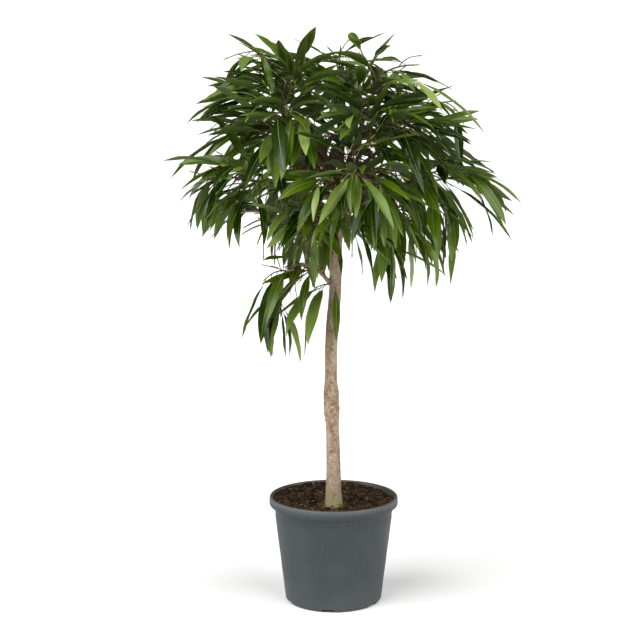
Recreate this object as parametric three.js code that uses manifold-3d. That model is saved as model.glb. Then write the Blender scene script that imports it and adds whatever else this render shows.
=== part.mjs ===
// A long-leaved fig grown as a standard: a bare stem with a mop of narrow hanging leaves, in a
// nursery pot. Millimetres, +Z up, origin at the middle of the pot's flat underside, front at -Y.
// Every limb starts 0.3 mm clear of the limb that bears it, and every mass of leaves starts
// 0.3 mm clear of its bough's tip, so that each is a solid of its own.

import * as THREE from "three";
import { mergeVertices } from "three/addons/utils/BufferGeometryUtils.js";
import Module from "manifold-3d";

const wasm = await Module();
wasm.setup();

// Driving dimensions
const GAP = 0.3;

const POT = {
  height: 232,
  rimRadius: 142,
  rimHeight: 19.5,
  rimRoll: 5,
  rimTaper: 2,
  lipWidth: 4,
  lipInner: 134.5,
  lipBevel: 1.5,
  neckRadius: 132,
  stepDown: 34,
  stepIn: 1.5,
  stepHeight: 2,
  baseRadius: 107,
  baseCorner: 7,
  wall: 3,
  floor: 4,
  floorBevel: 6,
  sides: 48,
};
const DRAIN = { count: 6, width: 26, height: 6, reach: 16, turn: -97 };

const SOIL = {
  level: 207,
  brim: 230,
  brimCurve: 1.3,
  lump: 1.6,
  lumpWidth: 9,
  flatRadius: 34,
  clear: 1,
  rings: 7,
  sides: 28,
};
// Where the soil has sunk beside the wall: degrees round the pot, and how wide.
const SOIL_HOLLOWS = [
  { turn: 20, depth: 8, width: 26 },
  { turn: 155, depth: 2, width: 22 },
];

const STEM = {
  foot: SOIL.level + GAP,
  fork: 930,
  footRadius: 15,
  headRadius: 12.4,
  forkRadius: 9.5,
  flare: 4.4,
  flareHeight: 64,
  knob: { size: 3.2, level: 421, height: 20 },
  upperKnob: { size: 3.4, level: 458, height: 17 },
  head: { size: 9, level: 866, height: 34 },
  ripple: { size: 0.6, waves: 3, twist: 0.2 },
  fineRipple: { size: 0.4, waves: 5 },
  seed: 5,
  sides: 12,
  rings: 40,
};
// Where the stem's middle line passes, as [x, y, z]: it bows left at the knob and leans right above.
const STEM_LINE = [
  [0, 0, STEM.foot],
  [-1, 1, 330],
  [-6, 3, 480],
  [-4.5, 3, 590],
  [3, 1, 690],
  [4, 0, 770],
  [12, 0, STEM.head.level],
  [13, 0, STEM.fork],
];

// The rings of boughs, from the skirt up: where they leave the stem, and how far out and how
// high their leaves gather.
const TIERS = [
  {
    name: "outer",
    count: 5,
    turn: 60,
    leaves: { reach: 225, level: 928 },
    start: { level: 862, rise: 0.8 },
    bough: { base: 6.2, tip: 3.8, share: 0.56, lift: 16 },
    seed: 51,
    leafSeed: 46294,
  },
  {
    name: "upper",
    count: 5,
    turn: 84,
    leaves: { reach: 180, level: 1050 },
    start: { level: 884, rise: 0.62 },
    bough: { base: 5.6, tip: 3.6, share: 0.56, lift: 8 },
    seed: 20,
    leafSeed: 22176,
  },
  {
    name: "lower",
    count: 4,
    turn: 72,
    leaves: { reach: 138, level: 836 },
    start: { level: 838, rise: 0.35 },
    bough: { base: 4.8, tip: 3.2, share: 0.6, lift: 22 },
    seed: 68,
    leafSeed: 24510,
  },
  {
    name: "top",
    count: 3,
    turn: 84,
    leaves: { reach: 120, level: 1150 },
    start: { level: 906, rise: 0.55 },
    bough: { base: 5.4, tip: 3.6, share: 0.6, lift: 0 },
    seed: 5,
    leafSeed: 45127,
  },
];
const TIER_SIZES = { shoots: 6, shootLength: 1, leafLength: 1 };
// How far a bough strays from its even place in the ring: degrees, share of reach, heights.
const STRAY = { turn: 7, reach: 0.06, level: 14, start: 3 };
const BOUGH = { sides: 6, rings: 5, bendShare: 0.45, neck: 8, neckSides: 5, taper: 0.96 };
// A slim bough low on the stem carries a spray that hangs in a room of its own.
const LOW_BOUGH = {
  leaves: [-112, -26, 668],
  start: [3, 0, 682],
  bend: [-52, -12, 776],
  tip: [-104, -24, 724],
  base: 4.4,
  end: 3.2,
  shoots: 3,
  shootLength: 0.55,
  leafLength: 0.85,
  room: { radius: 86, lowest: 533 },
  seed: 57,
  leafSeed: 20231,
};
// The crown's outline: at each height, how far right its middle lies and how far its leaves reach.
const OUTLINE = [
  [650, 90, 60],
  [700, 72, 190],
  [750, 55, 236],
  [800, 22, 345],
  [874, 26, 388],
  [958, 2, 388],
  [984, 8, 290],
  [1022, 2, 330],
  [1085, -9, 316],
  [1142, -22, 268],
  [1190, -22, 208],
  [1236, -44, 172],
  [1243, -44, 120],
];

// Shoots and leaves: a ...Vary value is the share by which its size strays to either side.
const SHOOT = {
  sides: 3,
  rings: 2,
  base: 2.6,
  tip: 2.2,
  shortest: 60,
  longest: 95,
  firstShare: 0.15,
  lastShare: 0.97,
  spread: 1.6,
  lastSpread: 0.2,
  spreadVary: 0.3,
  sag: 0.6,
  sagVary: 0.4,
  outward: 0.3,
  upward: 0.25,
  strayTurn: 0.8,
  tries: 12,
  retryTurn: 0.9,
};
const LEAF = {
  perShoot: 5,
  shortest: 140,
  longest: 188,
  width: 0.155,
  thickness: 0.016,
  stalkHeight: 1.2,
  widest: 0.44,
  firstShare: 0.12,
  lastShare: 0.99,
  lean: 0.85,
  leanVary: 0.2,
  terminalLean: 0.2,
  sagLeast: 0.35,
  sagMost: 1.25,
  earlySag: 0.3,
  roll: 1,
  outward: 0.3,
  strayTurn: 0.9,
  tries: 12,
  retryTurn: 1.1,
  retryShorter: 0.03,
  spotShares: [0.35, 0.7, 1],
};
const CLEAR = { space: 1, limb: 6, shoot: 7, ownShoot: 5, spotSpacing: 8 };
const SEED_STEP = { tier: 100, shoot: 11, spray: 211, leaf: 7 };
const SIMPLIFY = 0.25;
const GOLDEN_ANGLE = THREE.MathUtils.degToRad(137.5);
const UP = new THREE.Vector3(0, 0, 1);
const NEARLY_DOWN = 0.02;
const NEARLY_UP = 0.15;
const TINY = 1e-6;

const COLOUR = {
  pot: 0x53595d,
  soil: 0x3b2a1f,
  bark: 0xa08d75,
  leaf: 0x33541f,
};

// Small helpers

const vec = (x, y, z) => new THREE.Vector3(x, y, z);
const point = (list) => vec(...list);
const mix = THREE.MathUtils.lerp;
const along = (start, direction, distance) =>
  start.clone().addScaledVector(direction, distance);

// Repeatable draws between 0 and 1.
function drawsFrom(seed) {
  let state = (seed * 48271 + 11) % 2147483647;
  const draw = () => {
    state = (state * 16807) % 2147483647;
    return state / 2147483647;
  };
  draw();
  draw();
  return draw;
}

// A value's factor: 1, give or take a share.
const vary = (draw, share) => 1 + (2 * draw() - 1) * share;

// A direction turned by an angle towards straight down, and no further than nearly down.
function bentDown(direction, angle) {
  const down = vec(0, 0, -1);
  const turn = Math.min(angle, Math.max(direction.angleTo(down) - NEARLY_DOWN, 0));
  const axis = direction.clone().cross(down);
  if (axis.length() < TINY) return direction.clone();
  return direction.clone().applyAxisAngle(axis.normalize(), turn);
}

// Two directions square to a third, the first of them level where it can be.
function squareTo(direction, fallback) {
  const side = direction.clone().cross(UP);
  if (side.length() < NEARLY_UP) side.copy(fallback).cross(UP);
  side.addScaledVector(direction, -side.dot(direction)).normalize();
  return [side, side.clone().cross(direction).normalize()];
}

// Solids

function solidOf(geometry) {
  const bare = geometry.index ? geometry.toNonIndexed() : geometry.clone();
  const shape = new THREE.BufferGeometry();
  shape.setAttribute("position", bare.getAttribute("position"));
  const merged = mergeVertices(shape, 1e-3);
  const mesh = new wasm.Mesh({
    numProp: 3,
    vertProperties: merged.attributes.position.array,
    triVerts: new Uint32Array(merged.index.array),
  });
  return new wasm.Manifold(mesh);
}

// The solid of a closed shape, with its faces turned outwards.
function outwards(geometry) {
  const solid = solidOf(geometry);
  if (solid.volume() > 0) return solid;
  const turned = geometry.clone();
  const order = turned.index.array;
  for (let i = 0; i < order.length; i += 3) {
    const kept = order[i];
    order[i] = order[i + 1];
    order[i + 1] = kept;
  }
  return solidOf(turned);
}

function geometryOf(solid) {
  const mesh = solid.getMesh();
  const places = new Float32Array(mesh.numVert * 3);
  for (let i = 0; i < mesh.numVert; i++) {
    const from = i * mesh.numProp;
    places.set(mesh.vertProperties.subarray(from, from + 3), i * 3);
  }
  const geometry = new THREE.BufferGeometry();
  geometry.setAttribute("position", new THREE.BufferAttribute(places, 3));
  geometry.setIndex(new THREE.BufferAttribute(new Uint32Array(mesh.triVerts), 1));
  geometry.computeVertexNormals();
  return geometry;
}

// The largest body of a solid: loose scraps go, and hollows that fusing has sealed are filled.
function largestBody(solid) {
  const bodies = solid.decompose();
  return bodies.reduce((best, body) => (body.volume() > best.volume() ? body : best));
}

// A tube round a line of points, with its own radius at each point and flat ends.
function tube(points, radii, sides, wobble = () => 0) {
  const rings = points.length - 1;
  const geometry = new THREE.CylinderGeometry(1, 1, 1, sides, rings);
  const place = geometry.attributes.position;
  const frames = points.map((p, i) => {
    const before = points[Math.max(i - 1, 0)];
    const after = points[Math.min(i + 1, rings)];
    const ahead = after.clone().sub(before).normalize();
    const [side, lift] = squareTo(ahead, vec(0, 1, 0));
    return { p, side, lift };
  });
  let level = vec(1, 0, 0);
  for (const frame of frames) {
    const ahead = frame.side.clone().cross(frame.lift).normalize();
    level = level.addScaledVector(ahead, -level.dot(ahead)).normalize().clone();
    frame.side = level.clone();
    frame.lift = ahead.clone().cross(level).normalize();
  }
  for (let i = 0; i < place.count; i++) {
    const ring = Math.round((0.5 - place.getY(i)) * rings);
    const { p, side, lift } = frames[ring];
    const across = Math.hypot(place.getX(i), place.getZ(i));
    const angle = Math.atan2(place.getZ(i), place.getX(i));
    const radius = across * (radii[ring] + wobble(angle, ring));
    const at = along(along(p, side, radius * Math.cos(angle)), lift, radius * Math.sin(angle));
    place.setXYZ(i, at.x, at.y, at.z);
  }
  return outwards(geometry);
}

// The pot: one closed turned profile, with drain slots cut through the corner of its foot

const RIM_FOOT = POT.height - POT.rimHeight;
const STEP_LEVEL = POT.height - POT.stepDown;
const WALL_SLOPE = (POT.neckRadius - POT.baseRadius) / (RIM_FOOT - POT.baseCorner);
const wallRadius = (z) => POT.baseRadius + (z - POT.baseCorner) * WALL_SLOPE;

function potSolid() {
  const shape = new THREE.Shape();
  const stepRadius = wallRadius(STEP_LEVEL);
  const floorRadius = POT.baseRadius - POT.wall;
  shape.moveTo(0, 0);
  shape.lineTo(POT.baseRadius - POT.baseCorner, 0);
  shape.quadraticCurveTo(POT.baseRadius, 0, POT.baseRadius, POT.baseCorner);
  shape.lineTo(stepRadius - POT.stepIn, STEP_LEVEL);
  shape.lineTo(stepRadius, STEP_LEVEL + POT.stepHeight);
  shape.lineTo(POT.neckRadius, RIM_FOOT);
  shape.lineTo(POT.rimRadius - POT.rimTaper, RIM_FOOT);
  shape.lineTo(POT.rimRadius, RIM_FOOT + POT.rimRoll);
  shape.lineTo(POT.rimRadius - POT.rimTaper / 2, POT.height - POT.rimRoll);
  const lipEdge = POT.rimRadius - POT.lipWidth;
  shape.quadraticCurveTo(POT.rimRadius - POT.rimTaper, POT.height, lipEdge, POT.height);
  shape.lineTo(POT.lipInner, POT.height - POT.lipBevel);
  shape.lineTo(POT.neckRadius - POT.wall, RIM_FOOT - POT.wall);
  shape.lineTo(stepRadius - POT.stepIn - POT.wall, STEP_LEVEL - POT.stepHeight);
  shape.lineTo(floorRadius, POT.floor + POT.floorBevel);
  shape.lineTo(floorRadius - POT.floorBevel, POT.floor);
  shape.lineTo(0, POT.floor);
  const turned = new THREE.LatheGeometry(shape.getPoints(2), POT.sides);
  turned.rotateX(Math.PI / 2);
  let pot = outwards(turned);
  for (let i = 0; i < DRAIN.count; i++) {
    const slot = new THREE.BoxGeometry(DRAIN.reach * 2, DRAIN.width, DRAIN.height * 2);
    slot.translate(POT.baseRadius, 0, 0);
    slot.rotateZ(THREE.MathUtils.degToRad(DRAIN.turn + (i * 360) / DRAIN.count));
    pot = pot.subtract(solidOf(slot));
  }
  return largestBody(pot);
}

// The soil: it fills the pot, dished round the stem and risen to just under the rim at the wall

// The radius of the pot's inside at a level above its floor's bevel.
function insideRadius(z) {
  const line = [
    [POT.baseRadius - POT.wall, POT.floor + POT.floorBevel],
    [wallRadius(STEP_LEVEL) - POT.stepIn - POT.wall, STEP_LEVEL - POT.stepHeight],
    [POT.neckRadius - POT.wall, RIM_FOOT - POT.wall],
    [POT.lipInner, POT.height - POT.lipBevel],
  ];
  const next = Math.max(line.findIndex(([, level]) => level > z), 1);
  const [low, high] = [line[next - 1], line[next]];
  return mix(low[0], high[0], (z - low[1]) / (high[1] - low[1]));
}

function soilSolid() {
  const corners = [
    POT.floor + POT.floorBevel + SOIL.clear,
    STEP_LEVEL - POT.stepHeight,
    RIM_FOOT - POT.wall,
  ].map((z) => new THREE.Vector2(insideRadius(z) - SOIL.clear, z));
  const floorRadius = POT.baseRadius - POT.wall - POT.floorBevel - SOIL.clear;
  const profile = [
    new THREE.Vector2(0, POT.floor + GAP),
    new THREE.Vector2(floorRadius, POT.floor + GAP),
    ...corners,
  ];
  const brimRadius = insideRadius(SOIL.brim) - SOIL.clear;
  const firstRing = profile.length;
  for (let i = 0; i < SOIL.rings; i++) {
    const out = 1 - i / (SOIL.rings - 1);
    const rise = (SOIL.brim - SOIL.level) * out ** SOIL.brimCurve;
    profile.push(new THREE.Vector2(mix(SOIL.flatRadius, brimRadius, out), SOIL.level + rise));
  }
  profile.push(new THREE.Vector2(0, SOIL.level));
  const turned = new THREE.LatheGeometry(profile, SOIL.sides);
  turned.rotateX(Math.PI / 2);
  const place = turned.attributes.position;
  for (let i = 0; i < place.count; i++) {
    const ring = (i % profile.length) - firstRing;
    if (ring < 0 || ring >= SOIL.rings - 1) continue;
    const [x, y, z] = [place.getX(i), place.getY(i), place.getZ(i)];
    const level = z - SOIL.lump * (1 - 0.5 * soilLump(x, y)) - soilHollow(x, y, brimRadius);
    const drawnIn = Math.min(1, (insideRadius(level) - SOIL.clear) / Math.hypot(x, y));
    place.setXYZ(i, x * drawnIn, y * drawnIn, level);
  }
  return outwards(turned);
}

// How lumpy the soil's top is at a place, from -2 to 2.
function soilLump(x, y) {
  const [wide, narrow] = [SOIL.lumpWidth * 2, SOIL.lumpWidth];
  return Math.sin(x / narrow + 2) * Math.cos(y / narrow) + Math.sin((x - y) / wide);
}

// How far the soil has sunk at a place beside the wall.
function soilHollow(x, y, brimRadius) {
  const out = Math.max((Math.hypot(x, y) - SOIL.flatRadius) / (brimRadius - SOIL.flatRadius), 0);
  const round = THREE.MathUtils.radToDeg(Math.atan2(y, x));
  const depths = SOIL_HOLLOWS.map((h) => h.depth * Math.exp(-(((round - h.turn) / h.width) ** 2)));
  return out ** 4 * Math.max(...depths);
}

// The stem

const stemCurve = new THREE.CatmullRomCurve3(STEM_LINE.map(point));

function stemRadius(z) {
  const below = Math.min((z - STEM.foot) / (STEM.head.level - STEM.foot), 1);
  const above = Math.max((z - STEM.head.level) / (STEM.fork - STEM.head.level), 0);
  const bump = ({ size, level, height }) => size * Math.exp(-(((z - level) / height) ** 2));
  return (
    mix(STEM.footRadius, STEM.headRadius, Math.sqrt(below)) +
    mix(0, STEM.forkRadius - STEM.headRadius, above) +
    STEM.flare * Math.exp(-(z - STEM.foot) / STEM.flareHeight) +
    bump(STEM.knob) +
    bump(STEM.upperKnob) +
    bump(STEM.head)
  );
}

// The stem's solid, thickened all round by an extra amount where one is given.
function stemSolid(extra) {
  const points = stemCurve.getPoints(STEM.rings);
  const radii = points.map((p) => stemRadius(p.z) + extra);
  const draw = drawsFrom(STEM.seed);
  const [start, fineStart] = [draw() * 2 * Math.PI, draw() * 2 * Math.PI];
  const { ripple, fineRipple } = STEM;
  const rippled = (angle, ring) =>
    ripple.size * Math.sin(ripple.waves * angle + start + ring * ripple.twist) +
    fineRipple.size * Math.sin(fineRipple.waves * angle + fineStart);
  return tube(points, radii, STEM.sides, rippled);
}

// The boughs: each is one tapering limb on a bent line, cut clear of the limb that bears it

function stemPoint(level) {
  let best = stemCurve.getPoint(0);
  for (const p of stemCurve.getPoints(120)) {
    if (Math.abs(p.z - level) < Math.abs(best.z - level)) best = p;
  }
  return best.clone();
}

function boughPlan(name, start, bend, tip, base, end) {
  const curve = new THREE.QuadraticBezierCurve3(start, bend, tip);
  const points = curve.getPoints(BOUGH.rings);
  const radii = points.map((p, i) => mix(base, end, i / (points.length - 1)));
  const ahead = tip.clone().sub(points.at(-2)).normalize();
  return { name, points, radii, tip, ahead };
}

function tierPlans(tier) {
  const plans = [];
  for (let i = 0; i < tier.count; i++) {
    const seed = tier.seed * SEED_STEP.tier + i;
    const draw = drawsFrom(seed);
    const stray = (most) => (draw() - 0.5) * 2 * most;
    const even = tier.turn + (i * 360) / tier.count;
    const azimuth = THREE.MathUtils.degToRad(even + stray(STRAY.turn));
    const outward = vec(Math.cos(azimuth), Math.sin(azimuth), 0);
    const start = stemPoint(tier.start.level + stray(STRAY.start));
    const reach = tier.leaves.reach * (1 + stray(STRAY.reach));
    const level = tier.leaves.level + stray(STRAY.level);
    const heart = along(vec(0, 0, level), outward, reach);
    const tip = start.clone().lerp(heart, tier.bough.share);
    tip.z += tier.bough.lift;
    const bend = start.clone().lerp(tip, BOUGH.bendShare);
    bend.z = mix(start.z, tip.z, tier.start.rise) + tier.bough.lift;
    const { base, tip: end } = tier.bough;
    const bough = boughPlan(`${tier.name}_bough_${i + 1}`, start, bend, tip, base, end);
    const name = `${tier.name}_foliage_${i + 1}`;
    const { leafSeed } = tier;
    plans.push({ name, bough, heart, outward, seed, leafSeed, ...TIER_SIZES });
  }
  return plans;
}

function lowPlan(limb) {
  const [start, bend, tip, heart] = [limb.start, limb.bend, limb.tip, limb.leaves].map(point);
  const bough = boughPlan("low_bough", start, bend, tip, limb.base, limb.end);
  const outward = heart.clone().sub(tip).normalize();
  const { seed, leafSeed, shoots, shootLength, leafLength, room } = limb;
  const sizes = { shoots, shootLength, leafLength };
  return { name: "low_foliage", bough, heart, outward, seed, leafSeed, room, ...sizes };
}

const masses = [...TIERS.flatMap(tierPlans), lowPlan(LOW_BOUGH)];

// What leaves and shoots have to keep clear of: spots along every limb, with its radius there.
function spotsAlong(points, radii) {
  const spots = [];
  for (let i = 0; i + 1 < points.length; i++) {
    const steps = Math.ceil(points[i].distanceTo(points[i + 1]) / CLEAR.spotSpacing);
    for (let k = 0; k < steps; k++) {
      const share = k / steps;
      const p = points[i].clone().lerp(points[i + 1], share);
      spots.push({ p, radius: mix(radii[i], radii[i + 1], share) });
    }
  }
  spots.push({ p: points.at(-1), radius: radii.at(-1) });
  return spots;
}

const stemPoints = stemCurve.getPoints(STEM.rings);
const limbSpots = [
  ...spotsAlong(stemPoints, stemPoints.map((p) => stemRadius(p.z))),
  ...masses.flatMap((m) => spotsAlong(m.bough.points, m.bough.radii)),
];

const clearOf = (spots, p, room) =>
  spots.every((spot) => spot.p.distanceTo(p) > spot.radius + room);
const clearOfLimbs = (p, room) => clearOf(limbSpots, p, room);

// Whether a point lies inside the crown's outline.
function inCrown(p) {
  const next = OUTLINE.findIndex(([level]) => level > p.z);
  if (next < 1) return false;
  const [low, high] = [OUTLINE[next - 1], OUTLINE[next]];
  const share = (p.z - low[0]) / (high[0] - low[0]);
  return Math.hypot(p.x - mix(low[1], high[1], share), p.y) < mix(low[2], high[2], share);
}

function inRoom(mass, p) {
  if (!mass.room) return inCrown(p);
  const out = Math.hypot(p.x - mass.heart.x, p.y - mass.heart.y);
  return out < mass.room.radius && p.z > mass.room.lowest;
}

// A mass keeps inside the crown, and to the points nearer to its own heart than to any other.
function inSpace(mass, p) {
  if (!inRoom(mass, p)) return false;
  return masses.every((other) => {
    if (other === mass) return true;
    const apart = other.heart.distanceTo(mass.heart);
    const past = p.distanceToSquared(other.heart) - p.distanceToSquared(mass.heart);
    return past / (2 * apart) > CLEAR.space;
  });
}

function touching(solid, other) {
  const common = solid.intersect(other);
  const volume = common.volume();
  common.delete();
  return volume > 0;
}

// Leaves

// A leaf's line: its root, its widest place and its tip, sagging as it goes.
function leafLine(root, direction, length, sag) {
  const middle = along(root, bentDown(direction, sag * LEAF.earlySag), length * LEAF.widest);
  const tip = along(middle, bentDown(direction, sag), length * (1 - LEAF.widest));
  return { root, middle, tip };
}

// Spots on a leaf's blade, from near its root to its tip.
function leafSpots({ root, middle, tip }, side, halfWidth) {
  const spots = [];
  for (const share of LEAF.spotShares) {
    const p = root.clone().lerp(middle, share);
    spots.push(p, along(p, side, halfWidth * share), along(p, side, -halfWidth * share));
  }
  for (const share of LEAF.spotShares) {
    const p = middle.clone().lerp(tip, share);
    const half = halfWidth * (1 - share);
    spots.push(p, along(p, side, half), along(p, side, -half));
  }
  return spots;
}

// A keeled blade of eight faces: an upright edge sunk in the shoot, the widest place and a point.
function leafSolid({ root, middle, tip }, side, halfWidth, thickness) {
  const ahead = middle.clone().sub(root).normalize();
  const lift = side.clone().cross(ahead).normalize();
  const corners = [
    along(root, lift, LEAF.stalkHeight / 2),
    along(root, lift, -LEAF.stalkHeight / 2),
    along(middle, side, halfWidth),
    along(middle, side, -halfWidth),
    along(middle, lift, -thickness),
    tip.clone(),
  ];
  const geometry = new THREE.BufferGeometry().setFromPoints(corners);
  geometry.setIndex([0, 2, 3, 2, 5, 3, 0, 1, 2, 1, 4, 2, 0, 3, 1, 1, 3, 4, 2, 4, 5, 4, 3, 5]);
  return outwards(geometry);
}

// Shoots

// A direction that leaves a limb's own: turned about it, leaning from it, and drawn outwards.
function offDirection(ahead, outward, lean, angle, drawnOut, drawnUp) {
  const [side, lift] = squareTo(ahead, outward);
  return ahead
    .clone()
    .addScaledVector(side, lean * Math.cos(angle))
    .addScaledVector(lift, lean * Math.sin(angle))
    .addScaledVector(outward, drawnOut)
    .addScaledVector(UP, drawnUp)
    .normalize();
}

// A shoot's line: it leaves the mass's stem at an angle and sags towards its end.
function shootLine(mass, stem, index, draw) {
  const last = index === mass.shoots - 1;
  const share = mix(SHOOT.firstShare, SHOOT.lastShare, (index + 1) / mass.shoots);
  const root = stem.start.clone().lerp(stem.end, share);
  const length = mix(SHOOT.shortest, SHOOT.longest, draw()) * mass.shootLength;
  const turn = index * GOLDEN_ANGLE + draw() * SHOOT.strayTurn;
  const spread = (last ? SHOOT.lastSpread : SHOOT.spread) * vary(draw, SHOOT.spreadVary);
  const sag = SHOOT.sag * vary(draw, SHOOT.sagVary);
  for (let attempt = 0; attempt < SHOOT.tries; attempt++) {
    const angle = turn + attempt * SHOOT.retryTurn;
    const { ahead } = stem;
    const direction = offDirection(ahead, mass.outward, spread, angle, SHOOT.outward, SHOOT.upward);
    const points = [root.clone()];
    for (let i = 0; i < SHOOT.rings; i++) {
      const step = bentDown(direction, (sag * i) / (SHOOT.rings - 1));
      points.push(along(points.at(-1), step, length / SHOOT.rings));
    }
    const reached = points.slice(1);
    if (reached.every((p) => inSpace(mass, p) && clearOfLimbs(p, CLEAR.shoot))) return points;
  }
  return null;
}

function pointOnShoot(points, share) {
  const scaled = share * (points.length - 1);
  const i = Math.min(Math.floor(scaled), points.length - 2);
  const ahead = points[i + 1].clone().sub(points[i]).normalize();
  return { p: points[i].clone().lerp(points[i + 1], scaled - i), ahead };
}

// A leaf of a shoot: it is turned and made a little shorter until it fits, or else left out.
function leafOnShoot(mass, points, index, draw, others) {
  const terminal = index === LEAF.perShoot - 1;
  const share = mix(LEAF.firstShare, LEAF.lastShare, index / (LEAF.perShoot - 1));
  const { p, ahead } = pointOnShoot(points, share);
  const fullLength = mix(LEAF.shortest, LEAF.longest, draw()) * mass.leafLength;
  const turn = index * GOLDEN_ANGLE + draw() * LEAF.strayTurn;
  const lean = terminal ? LEAF.terminalLean : LEAF.lean * vary(draw, LEAF.leanVary);
  const sag = mix(LEAF.sagLeast, LEAF.sagMost, draw());
  const roll = (2 * draw() - 1) * LEAF.roll;
  const shoot = spotsAlong(points, points.map(() => SHOOT.base));
  for (let attempt = 0; attempt < LEAF.tries; attempt++) {
    const angle = turn + attempt * LEAF.retryTurn;
    const length = fullLength * (1 - attempt * LEAF.retryShorter);
    const halfWidth = (length * LEAF.width) / 2;
    const direction = offDirection(ahead, mass.outward, lean, angle, LEAF.outward, 0);
    const line = leafLine(p, direction, length, sag);
    const spine = line.middle.clone().sub(p).normalize();
    const [level] = squareTo(line.tip.clone().sub(p).normalize(), mass.outward);
    const side = level.addScaledVector(spine, -level.dot(spine)).normalize();
    side.applyAxisAngle(spine, roll);
    const spots = leafSpots(line, side, halfWidth);
    const fits = spots.every((s) => inSpace(mass, s) && clearOfLimbs(s, CLEAR.limb));
    if (!fits || !spots.every((s) => clearOf(shoot, s, CLEAR.ownShoot))) continue;
    const leaf = leafSolid(line, side, halfWidth, length * LEAF.thickness);
    if (!others.some((other) => touching(leaf, other))) return leaf;
  }
  return null;
}

// A mass of leaves: a short stem from its bough's tip, the shoots on it and the leaves on them.
function foliageSolid(mass) {
  const { tip, ahead, radii } = mass.bough;
  const start = along(tip, ahead, GAP);
  const neck = along(start, ahead, BOUGH.neck);
  const end = mass.heart;
  const stem = { start: neck, end, ahead: end.clone().sub(neck).normalize() };
  const thick = radii.at(-1);
  const stemRadii = [thick, thick * BOUGH.taper, thick * BOUGH.taper ** 2];
  const wood = [tube([start, neck, end], stemRadii, BOUGH.neckSides)];
  const leaves = [];
  for (let i = 0; i < mass.shoots; i++) {
    const points = shootLine(mass, stem, i, drawsFrom(mass.seed + i * SEED_STEP.shoot));
    if (!points) continue;
    const others = [...wood, ...leaves];
    const shootRadii = points.map((p, k) => mix(SHOOT.base, SHOOT.tip, k / SHOOT.rings));
    wood.push(tube(points, shootRadii, SHOOT.sides));
    for (let k = 0; k < LEAF.perShoot; k++) {
      const leafSeed = mass.leafSeed + i * SEED_STEP.spray + k * SEED_STEP.leaf;
      const draw = drawsFrom(mass.seed + leafSeed);
      const leaf = leafOnShoot(mass, points, k, draw, others);
      if (!leaf) continue;
      leaves.push(leaf);
      others.push(leaf);
    }
  }
  return largestBody(wasm.Manifold.union([...wood, ...leaves])).simplify(SIMPLIFY);
}

// The whole plant

const stemNode = stemSolid(0);
const stemRoom = stemSolid(GAP);

const plant = new THREE.Group();

function addNode(name, solid, colour, roughness) {
  const material = new THREE.MeshStandardMaterial({ color: colour, roughness, metalness: 0 });
  const mesh = new THREE.Mesh(geometryOf(solid), material);
  mesh.name = name;
  plant.add(mesh);
}

addNode("pot", potSolid(), COLOUR.pot, 0.55);
addNode("soil", soilSolid(), COLOUR.soil, 1);
addNode("stem", stemNode, COLOUR.bark, 0.9);
for (const mass of masses) {
  const { name, points, radii } = mass.bough;
  const bough = largestBody(tube(points, radii, BOUGH.sides).subtract(stemRoom));
  addNode(name, bough, COLOUR.bark, 0.9);
}
for (const mass of masses) {
  addNode(mass.name, foliageSolid(mass), COLOUR.leaf, 0.5);
}

export default plant;
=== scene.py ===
# %% [markdown]
# # A long-leaved fig grown as a standard, in its nursery pot
#
# The plant is a bare stem with a mop crown of long, narrow, hanging leaves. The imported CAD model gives
# its sizes and its limbs. This script dresses that model: bark with relief, twigs down to the leaf
# stalks, more than seven hundred leaves, a moulded pot and crumbly soil. The growth is worked out in
# millimetres and turned to metres where a mesh is made. The limbs follow the same rule and the same
# seeds as the CAD source, and the twigs and leaves grow on from them.

# %% Load the fixed frame
import math

import bmesh
import bpy
import numpy as np
from mathutils import Matrix, Vector, noise
from mathutils.bvhtree import BVHTree


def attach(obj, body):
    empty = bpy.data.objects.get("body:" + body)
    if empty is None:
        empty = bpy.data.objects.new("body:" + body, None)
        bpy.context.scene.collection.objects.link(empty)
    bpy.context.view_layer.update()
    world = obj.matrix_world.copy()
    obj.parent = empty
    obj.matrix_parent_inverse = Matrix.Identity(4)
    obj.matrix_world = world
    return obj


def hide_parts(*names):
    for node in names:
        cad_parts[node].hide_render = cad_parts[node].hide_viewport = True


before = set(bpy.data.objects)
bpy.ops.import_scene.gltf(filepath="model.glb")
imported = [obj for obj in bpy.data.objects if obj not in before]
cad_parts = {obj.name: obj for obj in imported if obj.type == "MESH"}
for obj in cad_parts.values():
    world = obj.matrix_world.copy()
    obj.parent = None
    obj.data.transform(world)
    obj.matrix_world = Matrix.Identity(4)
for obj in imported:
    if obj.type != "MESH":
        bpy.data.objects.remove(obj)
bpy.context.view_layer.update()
scene = bpy.context.scene
MM = 0.001

# %% [markdown]
# ## Camera, floor and light
#
# A photographer stands 2.8 m back with a short telephoto lens just under a metre up, and tips the
# camera down a little to see into the pot. The white room is made the way a studio does it: a pale
# floor that runs far back, a pale world round it, and the light of two large windows. A small lamp
# would give hard leaf shadows, so each window is a sun whose light comes from a disc about 60 degrees wide.

# %% Camera
CAMERA_PLACE = (-0.030, -2.8, 0.969)
CAMERA_DOWN = math.radians(7.09)
CAMERA_LENS = 73.2
SENSOR_WIDTH = 36

camera = bpy.data.objects.new("camera", bpy.data.cameras.new("camera"))
camera.location = CAMERA_PLACE
camera.rotation_euler = (math.pi / 2 - CAMERA_DOWN, 0, 0)
camera.data.lens = CAMERA_LENS
camera.data.sensor_width = SENSOR_WIDTH
scene.collection.objects.link(camera)
scene.camera = camera

# %% Colours and nodes
WHITE = (1, 1, 1, 1)


def linear(code):
    """The linear colour of an sRGB hex code."""
    shares = [int(code[i : i + 2], 16) / 255 for i in (0, 2, 4)]
    return (*[s / 12.92 if s < 0.04045 else ((s + 0.055) / 1.055) ** 2.4 for s in shares], 1)


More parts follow.
